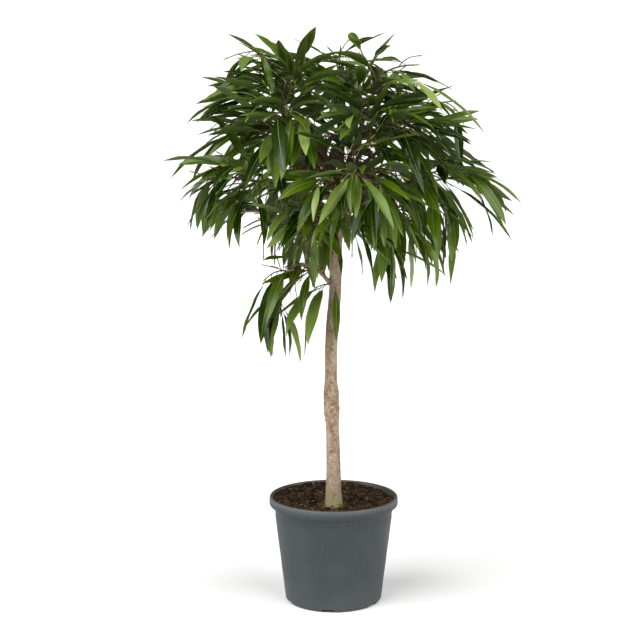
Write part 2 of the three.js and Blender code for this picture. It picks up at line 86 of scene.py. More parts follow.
def add_node(tree, kind, settings=None, inputs=None):
    """Adds a node; an input is named or numbered, and holds a value or the socket that feeds it."""
    node = tree.nodes.new(kind)
    for name, value in (settings or {}).items():
        setattr(node, name, value)
    for key, value in (inputs or {}).items():
        socket = next((s for s in node.inputs if s.name == key and s.enabled), None)
        if socket is None:
            socket = node.inputs[key]
        if isinstance(value, bpy.types.NodeSocket):
            tree.links.new(value, socket)
        else:
            socket.default_value = value
    return node


def new_material(name, roughness, ior, colour="808080"):
    """A material with a bare Principled shader: its tree and that shader."""
    material = bpy.data.materials.new(name)
    material.use_nodes = True
    tree = material.node_tree
    tree.nodes.clear()
    plain = {"Base Color": linear(colour), "Roughness": roughness, "IOR": ior}
    shader = add_node(tree, "ShaderNodeBsdfPrincipled", inputs=plain)
    add_node(tree, "ShaderNodeOutputMaterial", inputs={"Surface": shader.outputs["BSDF"]})
    return material, tree, shader


# %% Floor, windows and room
FLOOR_HALF = 30
AMBIENT = 0.16
SUNS = {
    "left window light": {"from": (-0.9, -0.6, 1.0), "spread": 60, "strength": 2.6},
    "right window light": {"from": (0.9, -0.55, 0.9), "spread": 65, "strength": 2.04},
}

floor_mesh = bpy.data.meshes.new("floor")
corners = [(x * FLOOR_HALF, y * FLOOR_HALF, 0) for x, y in ((-1, -1), (1, -1), (1, 1), (-1, 1))]
floor_mesh.from_pydata(corners, [], [(0, 1, 2, 3)])
floor = bpy.data.objects.new("floor", floor_mesh)
scene.collection.objects.link(floor)
floor_mesh.materials.append(new_material("matt pale studio floor", 0.9, 1.45, "FCFCFB")[0])

for name, sun in SUNS.items():
    light = bpy.data.lights.new(name, "SUN")
    light.angle = math.radians(sun["spread"])
    light.energy = sun["strength"]
    holder = bpy.data.objects.new(name, light)
    holder.rotation_euler = Vector(sun["from"]).to_track_quat("Z", "Y").to_euler()
    scene.collection.objects.link(holder)

# The room lights the plant only dimly, but the camera sees it as white as paper.
world = bpy.data.worlds.new("pale room")
world.use_nodes = True
sky = world.node_tree
sky.nodes.clear()
room, paper = [
    add_node(sky, "ShaderNodeBackground", inputs={"Color": WHITE, "Strength": strength}).outputs[0]
    for strength in (AMBIENT, 1.0)
]
seen = add_node(sky, "ShaderNodeLightPath").outputs["Is Camera Ray"]
both = add_node(sky, "ShaderNodeMixShader", inputs={0: seen, 1: room, 2: paper})
add_node(sky, "ShaderNodeOutputWorld", inputs={"Surface": both.outputs[0]})
scene.world = world
# A picture for a catalogue is printed crisp, so this one gets a little more contrast.
scene.view_settings.view_transform = "Standard"
scene.view_settings.look = "Medium High Contrast"
print("windows:", ", ".join(SUNS), "and a pale room")

# %% [markdown]
# ## The limbs
#
# The stem leans and wavers a little, thickens at the knob where it was grafted, and swells at the head
# where the crown was cut back year after year. The boughs leave it there in rings. Each ring is worked
# out by a rule: boughs at even angles, each with a small stray of its own, and a mass of leaves round a
# heart beyond its tip. The draws are repeatable, so the same seed gives the same bough in the CAD
# source and here.

# %% Repeatable draws and directions
UP = np.array([0.0, 0.0, 1.0])
GOLDEN_ANGLE = math.radians(137.5)
NEARLY_DOWN = 0.02
NEARLY_UP = 0.15
# The Park-Miller rule for repeatable draws. The last two numbers only set seeds apart.
MODULUS = 2147483647
MULTIPLIER = 16807
SEED_STEP = 48271
SEED_START = 11


def draws_from(seed):
    """A function that gives one repeatable draw between 0 and 1 at each call."""
    state = (seed * SEED_STEP + SEED_START) % MODULUS

    def draw():
        nonlocal state
        state = state * MULTIPLIER % MODULUS
        return state / MODULUS

    draw()
    draw()
    return draw


def vary(draw, share):
    return 1 + (2 * draw() - 1) * share


def mix(start, end, share):
    return start + (end - start) * share


def unit(vector):
    return vector / np.linalg.norm(vector)


def sagging_ways(direction, sags, swings):
    """Directions that start as one given, each bent down by a sag and swung sideways by a swing."""
    slopes = np.maximum(math.asin(np.clip(direction[2], -1, 1)) - sags, NEARLY_DOWN - math.pi / 2)
    headings = math.atan2(direction[1], direction[0]) + swings
    level = np.cos(slopes)
    return np.stack([level * np.cos(headings), level * np.sin(headings), np.sin(slopes)], axis=1)


def square_to(direction, fallback):
    """Two directions square to a third, the first of them level where it can be."""
    side = np.cross(direction, UP)
    if np.linalg.norm(side) < NEARLY_UP:
        side = np.cross(fallback, UP)
    side = unit(side - direction * np.dot(side, direction))
    return side, unit(np.cross(side, direction))


def off_direction(ahead, outward, lean, angle, drawn_out, drawn_up):
    """A direction that leaves a limb's own: turned about it, leaning from it and drawn outwards."""
    side, lift = square_to(ahead, outward)
    around = side * math.cos(angle) + lift * math.sin(angle)
    return unit(ahead + around * lean + outward * drawn_out + UP * drawn_up)


# %% The stem's line and thickness
# All sizes of the growth are in millimetres.
STEM = {"foot": 207.3, "fork": 930, "foot radius": 15, "head radius": 12.4, "fork radius": 9.5}
FLARE = {"size": 4.4, "height": 64}
KNOB = {"size": 3.2, "level": 421, "height": 20}
UPPER_KNOB = {"size": 3.4, "level": 458, "height": 17}
HEAD = {"size": 9, "level": 866, "height": 34}
STEM_LINE = np.array(
    [
        [0, 0, STEM["foot"]],
        [-1, 1, 330],
        [-6, 3, 480],
        [-4.5, 3, 590],
        [3, 1, 690],
        [4, 0, 770],
        [12, 0, HEAD["level"]],
        [13, 0, STEM["fork"]],
    ]
)


def smooth_line(corners, count):
    """Points along a centripetal Catmull-Rom curve through some corners, evenly spaced in its own measure."""
    ends = [2 * corners[0] - corners[1]], [2 * corners[-1] - corners[-2]]
    x = np.vstack([ends[0], corners, ends[1]])
    made = []
    for place in np.linspace(0, len(corners) - 1, count + 1):
        k = min(int(place), len(corners) - 2)
        a, b, c, d = x[k : k + 4]
        ab, bc, cd = [np.sum((q - p) ** 2) ** 0.25 for p, q in ((a, b), (b, c), (c, d))]
        leaving = ((b - a) / ab - (c - a) / (ab + bc) + (c - b) / bc) * bc
        arriving = ((c - b) / bc - (d - b) / (bc + cd) + (d - c) / cd) * bc
        t = place - k
        cubic = 2 * b - 2 * c + leaving + arriving
        square = 3 * c - 3 * b - 2 * leaving - arriving
        made.append(b + leaving * t + square * t**2 + cubic * t**3)
    return np.array(made)


def bump(swelling, z):
    return swelling["size"] * math.exp(-(((z - swelling["level"]) / swelling["height"]) ** 2))


def stem_radius(z):
    below = min((z - STEM["foot"]) / (HEAD["level"] - STEM["foot"]), 1)
    above = max((z - HEAD["level"]) / (STEM["fork"] - HEAD["level"]), 0)
    taper = mix(STEM["foot radius"], STEM["head radius"], math.sqrt(max(below, 0)))
    taper += mix(0, STEM["fork radius"] - STEM["head radius"], above)
    flare = FLARE["size"] * math.exp(-(z - STEM["foot"]) / FLARE["height"])
    return taper + flare + bump(KNOB, z) + bump(UPPER_KNOB, z) + bump(HEAD, z)


stem_steps = smooth_line(STEM_LINE, 120)
print("stem thickness in mm:", {level: round(stem_radius(level) * 2, 1) for level in (210, 330, 460, 700)})

# %% The boughs and the hearts of the masses
# Each ring's count, the turn of its first bough in degrees, how far out and up its hearts lie, where its
# boughs leave the stem, how steeply they rise, and how thick they are there.
TIERS = {
    "outer": {"count": 5, "turn": 60, "reach": 225, "level": 928, "start": 862, "rise": 0.8, "base": 6.2},
    "upper": {"count": 5, "turn": 84, "reach": 180, "level": 1050, "start": 884, "rise": 0.62, "base": 5.6},
    "lower": {"count": 4, "turn": 72, "reach": 138, "level": 836, "start": 838, "rise": 0.35, "base": 4.8},
    "top": {"count": 3, "turn": 84, "reach": 120, "level": 1150, "start": 906, "rise": 0.55, "base": 5.4},
}
BOUGH = {
    "outer": {"end": 3.8, "share": 0.56, "lift": 16, "seed": 51},
    "upper": {"end": 3.6, "share": 0.56, "lift": 8, "seed": 20},
    "lower": {"end": 3.2, "share": 0.6, "lift": 22, "seed": 68},
    "top": {"end": 3.6, "share": 0.6, "lift": 0, "seed": 5},
}
STRAY = {"turn": 7, "reach": 0.06, "level": 14, "start": 3}
BEND_SHARE = 0.45
BOUGH_POINTS = 16
LOW = {
    "heart": [-112, -26, 668],
    "start": [3, 0, 682],
    "bend": [-52, -12, 776],
    "tip": [-104, -24, 724],
    "base": 4.4,
    "end": 3.2,
    "radius": 88,
    "give": 0.1,
    "lowest": 533,
    "seed": 57,
}


def stem_point(level):
    return stem_steps[np.argmin(np.abs(stem_steps[:, 2] - level))]


def bough_line(start, bend, tip):
    shares = np.linspace(0, 1, BOUGH_POINTS)[:, None]
    return start * (1 - shares) ** 2 + bend * 2 * shares * (1 - shares) + tip * shares**2


def tier_masses(name):
    """The masses of one ring: each has its bough's line, its heart and the direction outwards."""
    tier, bough = TIERS[name], BOUGH[name]
    made = []
    for i in range(tier["count"]):
        seed = bough["seed"] * 100 + i
        draw = draws_from(seed)
        stray = [(draw() - 0.5) * 2 for _ in range(4)]
        azimuth = math.radians(tier["turn"] + i * 360 / tier["count"] + stray[0] * STRAY["turn"])
        outward = np.array([math.cos(azimuth), math.sin(azimuth), 0])
        start = stem_point(tier["start"] + stray[1] * STRAY["start"])
        reach = tier["reach"] * (1 + stray[2] * STRAY["reach"])
        heart = outward * reach + UP * (tier["level"] + stray[3] * STRAY["level"])
        tip = mix(start, heart, bough["share"]) + UP * bough["lift"]
        bend = mix(start, tip, BEND_SHARE)
        bend[2] = mix(start[2], tip[2], tier["rise"]) + bough["lift"]
        made.append(
            {
                "name": f"{name}_foliage_{i + 1}",
                "bough": f"{name}_bough_{i + 1}",
                "line": bough_line(start, bend, tip),
                "radii": np.linspace(tier["base"], bough["end"], BOUGH_POINTS),
                "heart": heart,
                "outward": outward,
                "seed": seed,
                "tier": name,
            }
        )
    return made


low_start, low_bend, low_tip, low_heart = [np.array(LOW[k], float) for k in ("start", "bend", "tip", "heart")]
masses = [mass for name in TIERS for mass in tier_masses(name)]
masses.append(
    {
        "name": "low_foliage",
        "bough": "low_bough",
        "line": bough_line(low_start, low_bend, low_tip),
        "radii": np.linspace(LOW["base"], LOW["end"], BOUGH_POINTS),
        "heart": low_heart,
        "outward": unit(low_heart - low_tip),
        "seed": LOW["seed"],
        "tier": "low",
    }
)
print(len(masses), "boughs, each with its mass of leaves")

# %% [markdown]
# ## Room for leaves
#
# A twig or a leaf is only grown where it fits. Two tests say so. It stays inside the crown's outline,
# which is a table of levels with the middle and the reach of the crown there. And it keeps clear of
# every limb, which is a cloud of spots with a radius each. A spot test is quick, so each leaf may be
# tried a dozen times in other directions.

# %% The crown's outline and the limbs' spots
# How far over into the next space something may reach that has no limit there.
FREE = 500
# Level, middle and reach of the crown.
OUTLINE = np.array(
    [
        [650, 90, 60],
        [700, 72, 190],
        [750, 55, 236],
        [800, 22, 345],
        [874, 26, 388],
        [958, 2, 388],
        [984, 8, 290],
        [1022, 2, 330],
        [1085, -9, 316],
        [1142, -22, 268],
        [1190, -22, 208],
        [1236, -44, 172],
        [1243, -44, 120],
    ]
)
hearts = np.array([mass["heart"] for mass in masses])


def in_crown(points, share=1.0):
    """Whether all points lie inside the crown's outline, drawn in to a share of its reach."""
    levels = points[:, 2]
    if levels.min() < OUTLINE[0, 0] or levels.max() > OUTLINE[-1, 0]:
        return False
    middle = np.interp(levels, OUTLINE[:, 0], OUTLINE[:, 1])
    reach = np.interp(levels, OUTLINE[:, 0], OUTLINE[:, 2]) * share
    return bool(np.all(np.hypot(points[:, 0] - middle, points[:, 1]) < reach))


def in_space(mass, points, share=1.0, over=0.0):
    """Whether all points lie in a mass's own space, or no more than a little way over into the next."""
    if mass["tier"] == "low":
        out = np.hypot(points[:, 0] - mass["heart"][0], points[:, 1] - mass["heart"][1])
        inside = np.all(out < LOW["radius"] + min(over, FREE) * LOW["give"])
        return bool(inside and points[:, 2].min() > LOW["lowest"])
    if not in_crown(points, share):
        return False
    own = np.sum((points - mass["heart"]) ** 2, axis=1)
    others = np.sum((points[:, None] - hearts) ** 2, axis=2)
    apart = np.linalg.norm(hearts - mass["heart"], axis=1)
    return bool(np.all(others - own[:, None] >= -2 * apart * over))


stem_radii = np.array([stem_radius(z) for z in stem_steps[:, 2]])
spot_places = np.vstack([stem_steps] + [mass["line"] for mass in masses])
spot_radii = np.concatenate([stem_radii] + [mass["radii"] for mass in masses])


def clear_of_limbs(points, room):
    apart = np.linalg.norm(points[:, None] - spot_places, axis=2)
    return bool(np.all(apart > spot_radii + room))


# %% [markdown]
# ## Twigs
#
# From each bough's tip a short leader runs on to the heart of its mass. Six shoots leave it by the
# golden angle, as on a real fig, and each shoot carries finer twiglets. A few inner twigs leave the bough
# itself. They could be drawn by hand, but a rule gives hundreds of them in a few lines, and all sides of
# the crown come out equally full.

# %% Shoots and twiglets
SHOOT = {
    "count": 6,
    "shortest": 60,
    "longest": 95,
    "spread": 1.6,
    "last spread": 0.2,
    "spread vary": 0.3,
    "sag": 0.6,
    "sag vary": 0.4,
    "outward": 0.3,
    "upward": 0.25,
    "turn": 0.8,
    "first": 0.15,
    "last": 0.97,
    "room": 7,
    "tries": 12,
    "retry turn": 0.9,
    "over": 8,
    "seed": 11,
}
TWIGLET = {
    "count": 3,
    "shortest": 34,
    "longest": 62,
    "first": 0.3,
    "last": 0.85,
    "lean": 1.0,
    "sag": 0.5,
    "sag vary": 0.6,
    "outward": 0.35,
    "upward": 0.1,
}
INNER = {"count": 4, "first": 0.35, "last": 0.95, "shortest": 26, "longest": 60}
INNER |= {"lean": 1.4, "sag": 0.9, "outward": 0.1, "seed": 3}
LEADER_NECK = 8
# What differs on the low bough, whose spray is small and hangs.
LOW_SPRAY = {
    "shoots": 2,
    "shoot length": 0.4,
    "twiglets": 0,
    "first inner": 0.1,
    "leaf length": 0.95,
    "lean": 1.15,
    "droop": 0.5,
}
# Each kind of twig's thickness from its middle, at its root and at its tip.
TWIG_RADII = {
    "leader": (3.4, 2.6),
    "shoot": (2.2, 1.5),
    "inner": (1.7, 1.1),
    "twiglet": (1.5, 1.0),
    "bare": (1.1, 0.6),
}


def sagging_line(root, direction, length, sag, count=5):
    """A twig's line: it starts in a direction and bends down steadily."""
    ways = sagging_ways(direction, sag * np.arange(count) / (count - 1), 0)
    return np.vstack([root, root + np.cumsum(ways, axis=0) * length / count])


def grow_twig(mass, root, ahead, length, lean, turn, sag, out, up, over=SHOOT["over"]):
    """The first line, of some tries round its parent, that fits in the mass's space."""
    for attempt in range(SHOOT["tries"]):
        around = turn + attempt * SHOOT["retry turn"]
        direction = off_direction(ahead, mass["outward"], lean, around, out, up)
        line = sagging_line(root, direction, length, sag)
        if in_space(mass, line[1:], over=over) and clear_of_limbs(line[2:], SHOOT["room"]):
            return line
    return None


def place_on(line, share):
    """A place along a line and the direction there."""
    scaled = share * (len(line) - 1)
    i = min(int(scaled), len(line) - 2)
    return mix(line[i], line[i + 1], scaled - i), unit(line[i + 1] - line[i])


def inner_twigs(mass):
    """The twigs that leave a bough itself."""
    made = []
    first = LOW_SPRAY["first inner"] if mass["tier"] == "low" else INNER["first"]
    for k in range(INNER["count"]):
        draw = draws_from(mass["seed"] * INNER["seed"] + k)
        root, along = place_on(mass["line"], mix(first, INNER["last"], k / (INNER["count"] - 1)))
        length = mix(INNER["shortest"], INNER["longest"], draw())
        turn, sag = k * GOLDEN_ANGLE + draw() * math.tau, INNER["sag"] * draw()
        made.append(grow_twig(mass, root, along, length, INNER["lean"], turn, sag, INNER["outward"], 0, FREE))
    return [("inner", line) for line in made if line is not None]


def twiglets_on(mass, shoot, draw):
    """The twiglets of one shoot."""
    made = []
    for k in range(LOW_SPRAY["twiglets"] if mass["tier"] == "low" else TWIGLET["count"]):
        root, along = place_on(shoot, mix(TWIGLET["first"], TWIGLET["last"], k / (TWIGLET["count"] - 1)))
        length = mix(TWIGLET["shortest"], TWIGLET["longest"], draw())
        turn = k * GOLDEN_ANGLE + draw() * math.tau
        sag = TWIGLET["sag"] * vary(draw, TWIGLET["sag vary"])
        out, up = TWIGLET["outward"], TWIGLET["upward"]
        made.append(grow_twig(mass, root, along, length, TWIGLET["lean"], turn, sag, out, up))
    return [("twiglet", line) for line in made if line is not None]


def twigs_of(mass):
    """The leader, inner twigs, shoots and twiglets of one mass, each with its kind and line."""
    low = mass["tier"] == "low"
    tip, end = mass["line"][-1], mass["heart"]
    neck = tip + unit(tip - mass["line"][-2]) * LEADER_NECK
    made = [("leader", np.array([tip, neck, mix(neck, end, 0.5), end])), *inner_twigs(mass)]
    ahead = unit(end - neck)
    shoots = LOW_SPRAY["shoots"] if low else SHOOT["count"]
    for i in range(shoots):
        draw = draws_from(mass["seed"] + i * SHOOT["seed"])
        root = mix(neck, end, mix(SHOOT["first"], SHOOT["last"], (i + 1) / shoots))
        length = mix(SHOOT["shortest"], SHOOT["longest"], draw()) * (LOW_SPRAY["shoot length"] if low else 1)
        turn = i * GOLDEN_ANGLE + draw() * SHOOT["turn"]
        lean = SHOOT["last spread" if i == shoots - 1 else "spread"] * vary(draw, SHOOT["spread vary"])
        sag = SHOOT["sag"] * vary(draw, SHOOT["sag vary"])
        shoot = grow_twig(mass, root, ahead, length, lean, turn, sag, SHOOT["outward"], SHOOT["upward"])
        if shoot is not None:
            made += [("shoot", shoot), *twiglets_on(mass, shoot, draw)]
    return made


twigs = [(mass, kind, line) for mass in masses for kind, line in twigs_of(mass)]
print(len(twigs), "leaders, shoots, inner twigs and twiglets")

# %% [markdown]
# ## Leaves
#
# A leaf here is 13 to 19 cm long and about 25 mm wide, on a slim stalk. It leaves the twig at an angle,
# and its own weight bends it down more and more towards the tip. Its halves fold up a little from a pale
# midrib, and it twists. Instances of one leaf would all bend alike, so each leaf's mesh is worked out
# from its own draws, as arrays, and all are joined at the end. A leaf may not cross another: a quick
# search tree over each leaf's plain strip finds that, and the leaf is turned until it fits.
#
# A standing fig sheds old leaves inside and below, so a share of the leaves is missing there, and the
# crown is open to the sky in places. The larger of these gaps are given, and no leaf hangs across one.

# %% A leaf's line and strip
# Widths, reaches and stalks are shares of a leaf's length, and angles are in radians.
LEAF = {
    "shortest": 128,
    "longest": 186,
    "width": 0.17,
    "stalk": 0.13,
    "first": 0.15,
    "last": 0.99,
    "turn": 0.9,
    "lean": 0.85,
    "lean vary": 0.5,
    "terminal lean": 0.2,
    "outward": 0.3,
    "steepest": 0.36,
    "roll": 0.55,
    "twist": 0.6,
    "swing": 0.5,
    "tries": 12,
    "retry turn": 1.1,
    "retry shorter": 0.03,
    "least reach": 0.8,
    "least droop": 0.2,
    "most droop": 1.5,
    "least sag": 0.15,
}
# Level of a leaf's root, how much it is drawn down there as it starts, and its most sag.
HANG = np.array([[690, 1.0, 0.55], [880, 0.55, 0.55], [1020, 0.28, 0.5], [1180, 0.12, 0.42]])
# Shares along a blade, and its half width there as a share of its widest.
ALONG = np.array([0, 0.07, 0.18, 0.3, 0.43, 0.57, 0.71, 0.83, 0.93, 1])
WIDTHS = np.array([0.07, 0.38, 0.72, 0.93, 1, 0.95, 0.78, 0.52, 0.24, 0.015])
SAG_SPREAD = 1.35
STATIONS = np.concatenate([[0, 0.5 * LEAF["stalk"]], LEAF["stalk"] + (1 - LEAF["stalk"]) * ALONG])
# Where the crown is open to the sky when seen from the front: x and level of each gap, and half its width.
# A script measured these in the photograph. The larger and the more telling ones were picked.
EYE = {"place": np.round(np.array(CAMERA_PLACE)[[0, 2]] / MM), "away": round(-CAMERA_PLACE[1] / MM)}
GAPS = np.array(
    [
        [-176, 824, 24], [-172, 788, 15], [6, 1213, 21], [-17, 1198, 13], [287, 884, 21],
        [41, 732, 17], [-205, 745, 24], [-194, 693, 19], [-197, 656, 19], [-233, 988, 13],
        [-223, 1167, 15], [67, 1184, 13], [240, 1094, 13], [173, 1156, 11], [106, 680, 13],
        [188, 699, 11], [-117, 568, 11], [-278, 783, 15], [220, 933, 15],
    ]
)


def in_a_gap(points):
    """Whether a leaf would hang before or behind a gap, as seen by someone in front of the plant."""
    nearer = EYE["away"] / (EYE["away"] + points[:, 1])
    seen = EYE["place"] + (points[:, [0, 2]] - EYE["place"]) * nearer[:, None]
    apart = np.linalg.norm(seen[:, None] - GAPS[:, :2], axis=2)
    return bool(np.any(apart < GAPS[:, 2]))


def leaf_line(root, direction, length, sag, curve):
    """The stations along a leaf's midrib, and the direction at each: it sags and swings to one side."""
    middles = (STATIONS[1:] + STATIONS[:-1]) / 2
    ways = sagging_ways(direction, sag * SAG_SPREAD * middles, curve * middles**2)
    steps = ways * length * np.diff(STATIONS)[:, None]
    return np.vstack([root, root + np.cumsum(steps, axis=0)]), np.vstack([direction, ways])


def leaf_sides(points, ways, outward, roll, twist):
    """Each station's direction across the blade and out of its upper face."""
    level, _ = square_to(unit(points[-1] - points[0]), outward)
    sides = level - ways * (ways @ level)[:, None]
    sides /= np.linalg.norm(sides, axis=1)[:, None]
    angles = (roll + twist * STATIONS)[:, None]
    sides = sides * np.cos(angles) + np.cross(ways, sides) * np.sin(angles)
    return sides, np.cross(sides, ways)


def leaf_form(mass, line, half, roll, twist):
    """A leaf's stations, the directions there across the blade and out of its face, and its half width."""
    points, ways = line
    sides, lifts = leaf_sides(points, ways, mass["outward"], roll, twist)
    return {"mass": mass, "points": points, "sides": sides, "lifts": lifts, "half": half}


# The stations that the crossing test looks at.
STRIP = [2, 4, 6, 8, 11]
STRIP_FACES = [(2 * i, 2 * i + 1, 2 * i + 3, 2 * i + 2) for i in range(len(STRIP) - 1)]


def leaf_strip(leaf):
    """A plain strip of a leaf's blade for the crossing test, edge to edge."""
    across = leaf["sides"][STRIP] * (WIDTHS[[p - 2 for p in STRIP]] * leaf["half"])[:, None]
    return np.stack([leaf["points"][STRIP] + across, leaf["points"][STRIP] - across], axis=1).reshape(-1, 3)


# %% The leaves that are already there
MOST_LEAVES = 3000
leaf_trees = []
lowest = np.empty((MOST_LEAVES, 3))
highest = np.empty((MOST_LEAVES, 3))


def crosses(strip):
    """Whether a strip of blade cuts one that is already there. One that doesn't is added to them."""
    number = len(leaf_trees)
    low, high = strip.min(axis=0), strip.max(axis=0)
    near = np.all((lowest[:number] < high) & (highest[:number] > low), axis=1)
    tree = BVHTree.FromPolygons(strip.tolist(), STRIP_FACES)
    if any(tree.overlap(leaf_trees[i]) for i in np.flatnonzero(near)):
        return True
    leaf_trees.append(tree)
    lowest[number], highest[number] = low, high
    return False


# %% Grow the leaves
LEAVES_ON = {"shoot": 6, "inner": 4, "twiglet": 4}
# Level of a leaf's root, and the share of leaves that have dropped off there.
SHED = np.array([[700, 0.68], [850, 0.68], [960, 0.47], [1080, 0.18]])
# How far over into the next mass's space a leaf may reach.
LEAF_OVER = {"inner": FREE, "shoot": 60, "twiglet": 60}
EDGE_OVER = 10
LIMB_ROOM = 4
# Each leaf's seed is worked out from its mass, its spray and its place on it. A ring's own number shifts it.
SPRAY_SEED = 211
PLACE_SEED = 7
LEAF_SEEDS = {"outer": 1478, "upper": 4904, "lower": 4473, "top": 3, "low": 1405}


def grow_leaf(mass, kind, line, index, count, draw):
    """One leaf on a twig, turned and made a little shorter until it fits, or None."""
    low = mass["tier"] == "low"
    terminal = index == count - 1
    root, ahead = place_on(line, mix(LEAF["first"], LEAF["last"], index / (count - 1)))
    full = mix(LEAF["shortest"], LEAF["longest"], draw()) * (LOW_SPRAY["leaf length"] if low else 1)
    turn = index * GOLDEN_ANGLE + draw() * LEAF["turn"]
    lean = LEAF["terminal lean"] if terminal else LEAF["lean"] * vary(draw, LEAF["lean vary"])
    lean *= LOW_SPRAY["lean"] if low else 1
    sag = np.interp(root[2], HANG[:, 0], HANG[:, 2]) * mix(LEAF["least sag"], 1, draw())
    roll = (2 * draw() - 1) * LEAF["roll"]
    droop = -np.interp(root[2], HANG[:, 0], HANG[:, 1]) * mix(LEAF["least droop"], LEAF["most droop"], draw())
    droop *= LOW_SPRAY["droop"] if low else 1
    twist, curve = (2 * draw() - 1) * LEAF["twist"], (2 * draw() - 1) * LEAF["swing"]
    share = mix(LEAF["least reach"], 1, draw())
    over = LEAF_OVER[kind]
    if not low and draw() < np.interp(root[2], SHED[:, 0], SHED[:, 1]):
        return None
    for attempt in range(LEAF["tries"]):
        around = turn + attempt * LEAF["retry turn"]
        direction = off_direction(ahead, mass["outward"], lean, around, LEAF["outward"], droop)
        direction[2] = min(direction[2], LEAF["steepest"])
        length = full * (1 - attempt * LEAF["retry shorter"])
        points, ways = leaf_line(root, unit(direction), length, sag, curve)
        if not in_space(mass, points[1:], share, over) or in_a_gap(points[2:]):
            continue
        leaf = leaf_form(mass, (points, ways), length * LEAF["width"] / 2, roll, twist)
        strip = leaf_strip(leaf)
        fits = in_space(mass, strip, over=over + EDGE_OVER) and clear_of_limbs(strip, LIMB_ROOM)
        if fits and not crosses(strip):
            return {**leaf, "terminal": terminal, "draw": draw()}
    return None


leaves = []
tried = 0
for spray, (mass, kind, line) in enumerate(twigs):
    count = LEAVES_ON.get(kind, 0)
    for index in range(count):
        tried += 1
        seed = mass["seed"] + spray * SPRAY_SEED + index * PLACE_SEED + LEAF_SEEDS[mass["tier"]]
        leaf = grow_leaf(mass, kind, line, index, count, draws_from(seed))
        if leaf:
            leaves.append({**leaf, "spray": spray})
print(len(leaves), "leaves grown of", tried, "tried")

# %% [markdown]
# ## Leaves that stand out
#
# A few long leaves give this crown its ragged outline, and one hangs before the stem. Chance would
# seldom put a leaf just there, so these are placed: each long leaf starts from a twig's end that points
# about the right way, and is bent so that its tip comes out where it is wanted.

# %% Place the leaves that stand out
STEM_LEAF = {"root": [2, -13, 699], "way": [0.08, -0.6, -0.8], "length": 126, "half": 9}
STEM_LEAF |= {"sag": 0.75, "roll": 0.2}
# The tips of long leaves round the crown, as seen from the front: x and level.
TIPS = [[-226, 1230], [130, 1232], [322, 1020], [403, 872]]
TIPS += [[385, 790], [-366, 963], [-350, 925], [-284, 1140]]
LONG_LEAF = {"shortest": 120, "longest": 200, "half": 9, "sag": 0.4, "roll": 0.3, "ahead": 0.3, "slack": 1.01}
PLACED = {"twist": 0.3, "room": 3, "draw": 0.3}


def add_leaf(mass, spray, line, form):
    """Adds one placed leaf, if it is free of limbs and of other leaves, and says whether it did."""
    leaf = leaf_form(mass, line, form["half"], form["roll"], PLACED["twist"])
    free = clear_of_limbs(leaf["points"][2:], PLACED["room"]) and not crosses(leaf_strip(leaf))
    if free:
        leaves.append({**leaf, "terminal": False, "draw": PLACED["draw"], "spray": spray})
    return free


def lines_to(tip):
    """The leaf lines that reach a tip from a twig's end, the best pointed one first."""
    found = []
    for spray, (mass, kind, twig) in enumerate(twigs):
        root, ahead = twig[-1], unit(twig[-1] - twig[-2])
        further = (EYE["away"] + root[1]) / EYE["away"]
        x, level = EYE["place"] + (np.array(tip) - EYE["place"]) * further
        reach = np.array([x, root[1], level]) - root
        length = np.linalg.norm(reach)
        pointing = np.dot(reach, ahead) / length
        in_reach = LONG_LEAF["shortest"] < length < LONG_LEAF["longest"]
        if kind in ("shoot", "twiglet") and in_reach and pointing > LONG_LEAF["ahead"]:
            slope = math.asin(reach[2] / length) + LONG_LEAF["sag"] * SAG_SPREAD / 2
            start = np.array([math.copysign(1, reach[0]) * math.cos(slope), 0, math.sin(slope)])
            line = leaf_line(root, start, length * LONG_LEAF["slack"], LONG_LEAF["sag"], 0)
            found.append((pointing, spray, mass, line))
    return sorted(found, key=lambda row: -row[0])


way = unit(np.array(STEM_LEAF["way"]))
line = leaf_line(np.array(STEM_LEAF["root"], float), way, STEM_LEAF["length"], STEM_LEAF["sag"], 0)
print("leaf before the stem", "placed" if add_leaf(masses[-1], len(twigs), line, STEM_LEAF) else "left out")
for tip in TIPS:
    done = any(add_leaf(mass, spray, line, LONG_LEAF) for _, spray, mass, line in lines_to(tip))
    print("long leaf to", tip, "placed" if done else "left out")

# %% Bare twiglets in the gaps
# A bare twiglet that hangs in a gap has broken off.
leafy = {leaf["spray"] for leaf in leaves}
all_twigs = twigs
twigs = [
    twig
    for spray, twig in enumerate(all_twigs)
    if spray in leafy or twig[1] in ("leader", "shoot") or not in_a_gap(twig[2])
]
print(len(all_twigs) - len(twigs), "bare twiglets left out")

# %% [markdown]
# ## Old bare twigs
#
# In the shade inside the crown the first twigs have lost their leaves. They stay as a tangle of thin
# brown wood round the fork, and sky glints through it. The rule that grows the twiglets grows these too,
# low on the boughs and branched once, so the tangle is densest where the boughs come together.

# %% Grow the bare twigs
BARE = {
    "count": 9,
    "shortest": 30,
    "longest": 75,
    "first": 0.08,
    "last": 0.8,
    "lean": 1.2,
    "sag": 1.1,
    "outward": 0.1,
    "branches": 3,
    "branch first": 0.25,
    "branch last": 0.9,
    "branch lean": 0.9,
    "branch least": 0.3,
    "branch most": 0.7,
    "seed": 977,
    "mass seed": 5,
}
bare_twigs = []


def grow_bare(mass, line, share, length, lean, turn, sag):
    """One bare twig that leaves a line at a share of its length, or None where it would hang in a gap."""
    root, along = place_on(line, share)
    bare = grow_twig(mass, root, along, length, lean, turn, sag, BARE["outward"], 0, FREE)
    if bare is None or in_a_gap(bare):
        return None
    bare_twigs.append((mass, "bare", bare))
    return bare


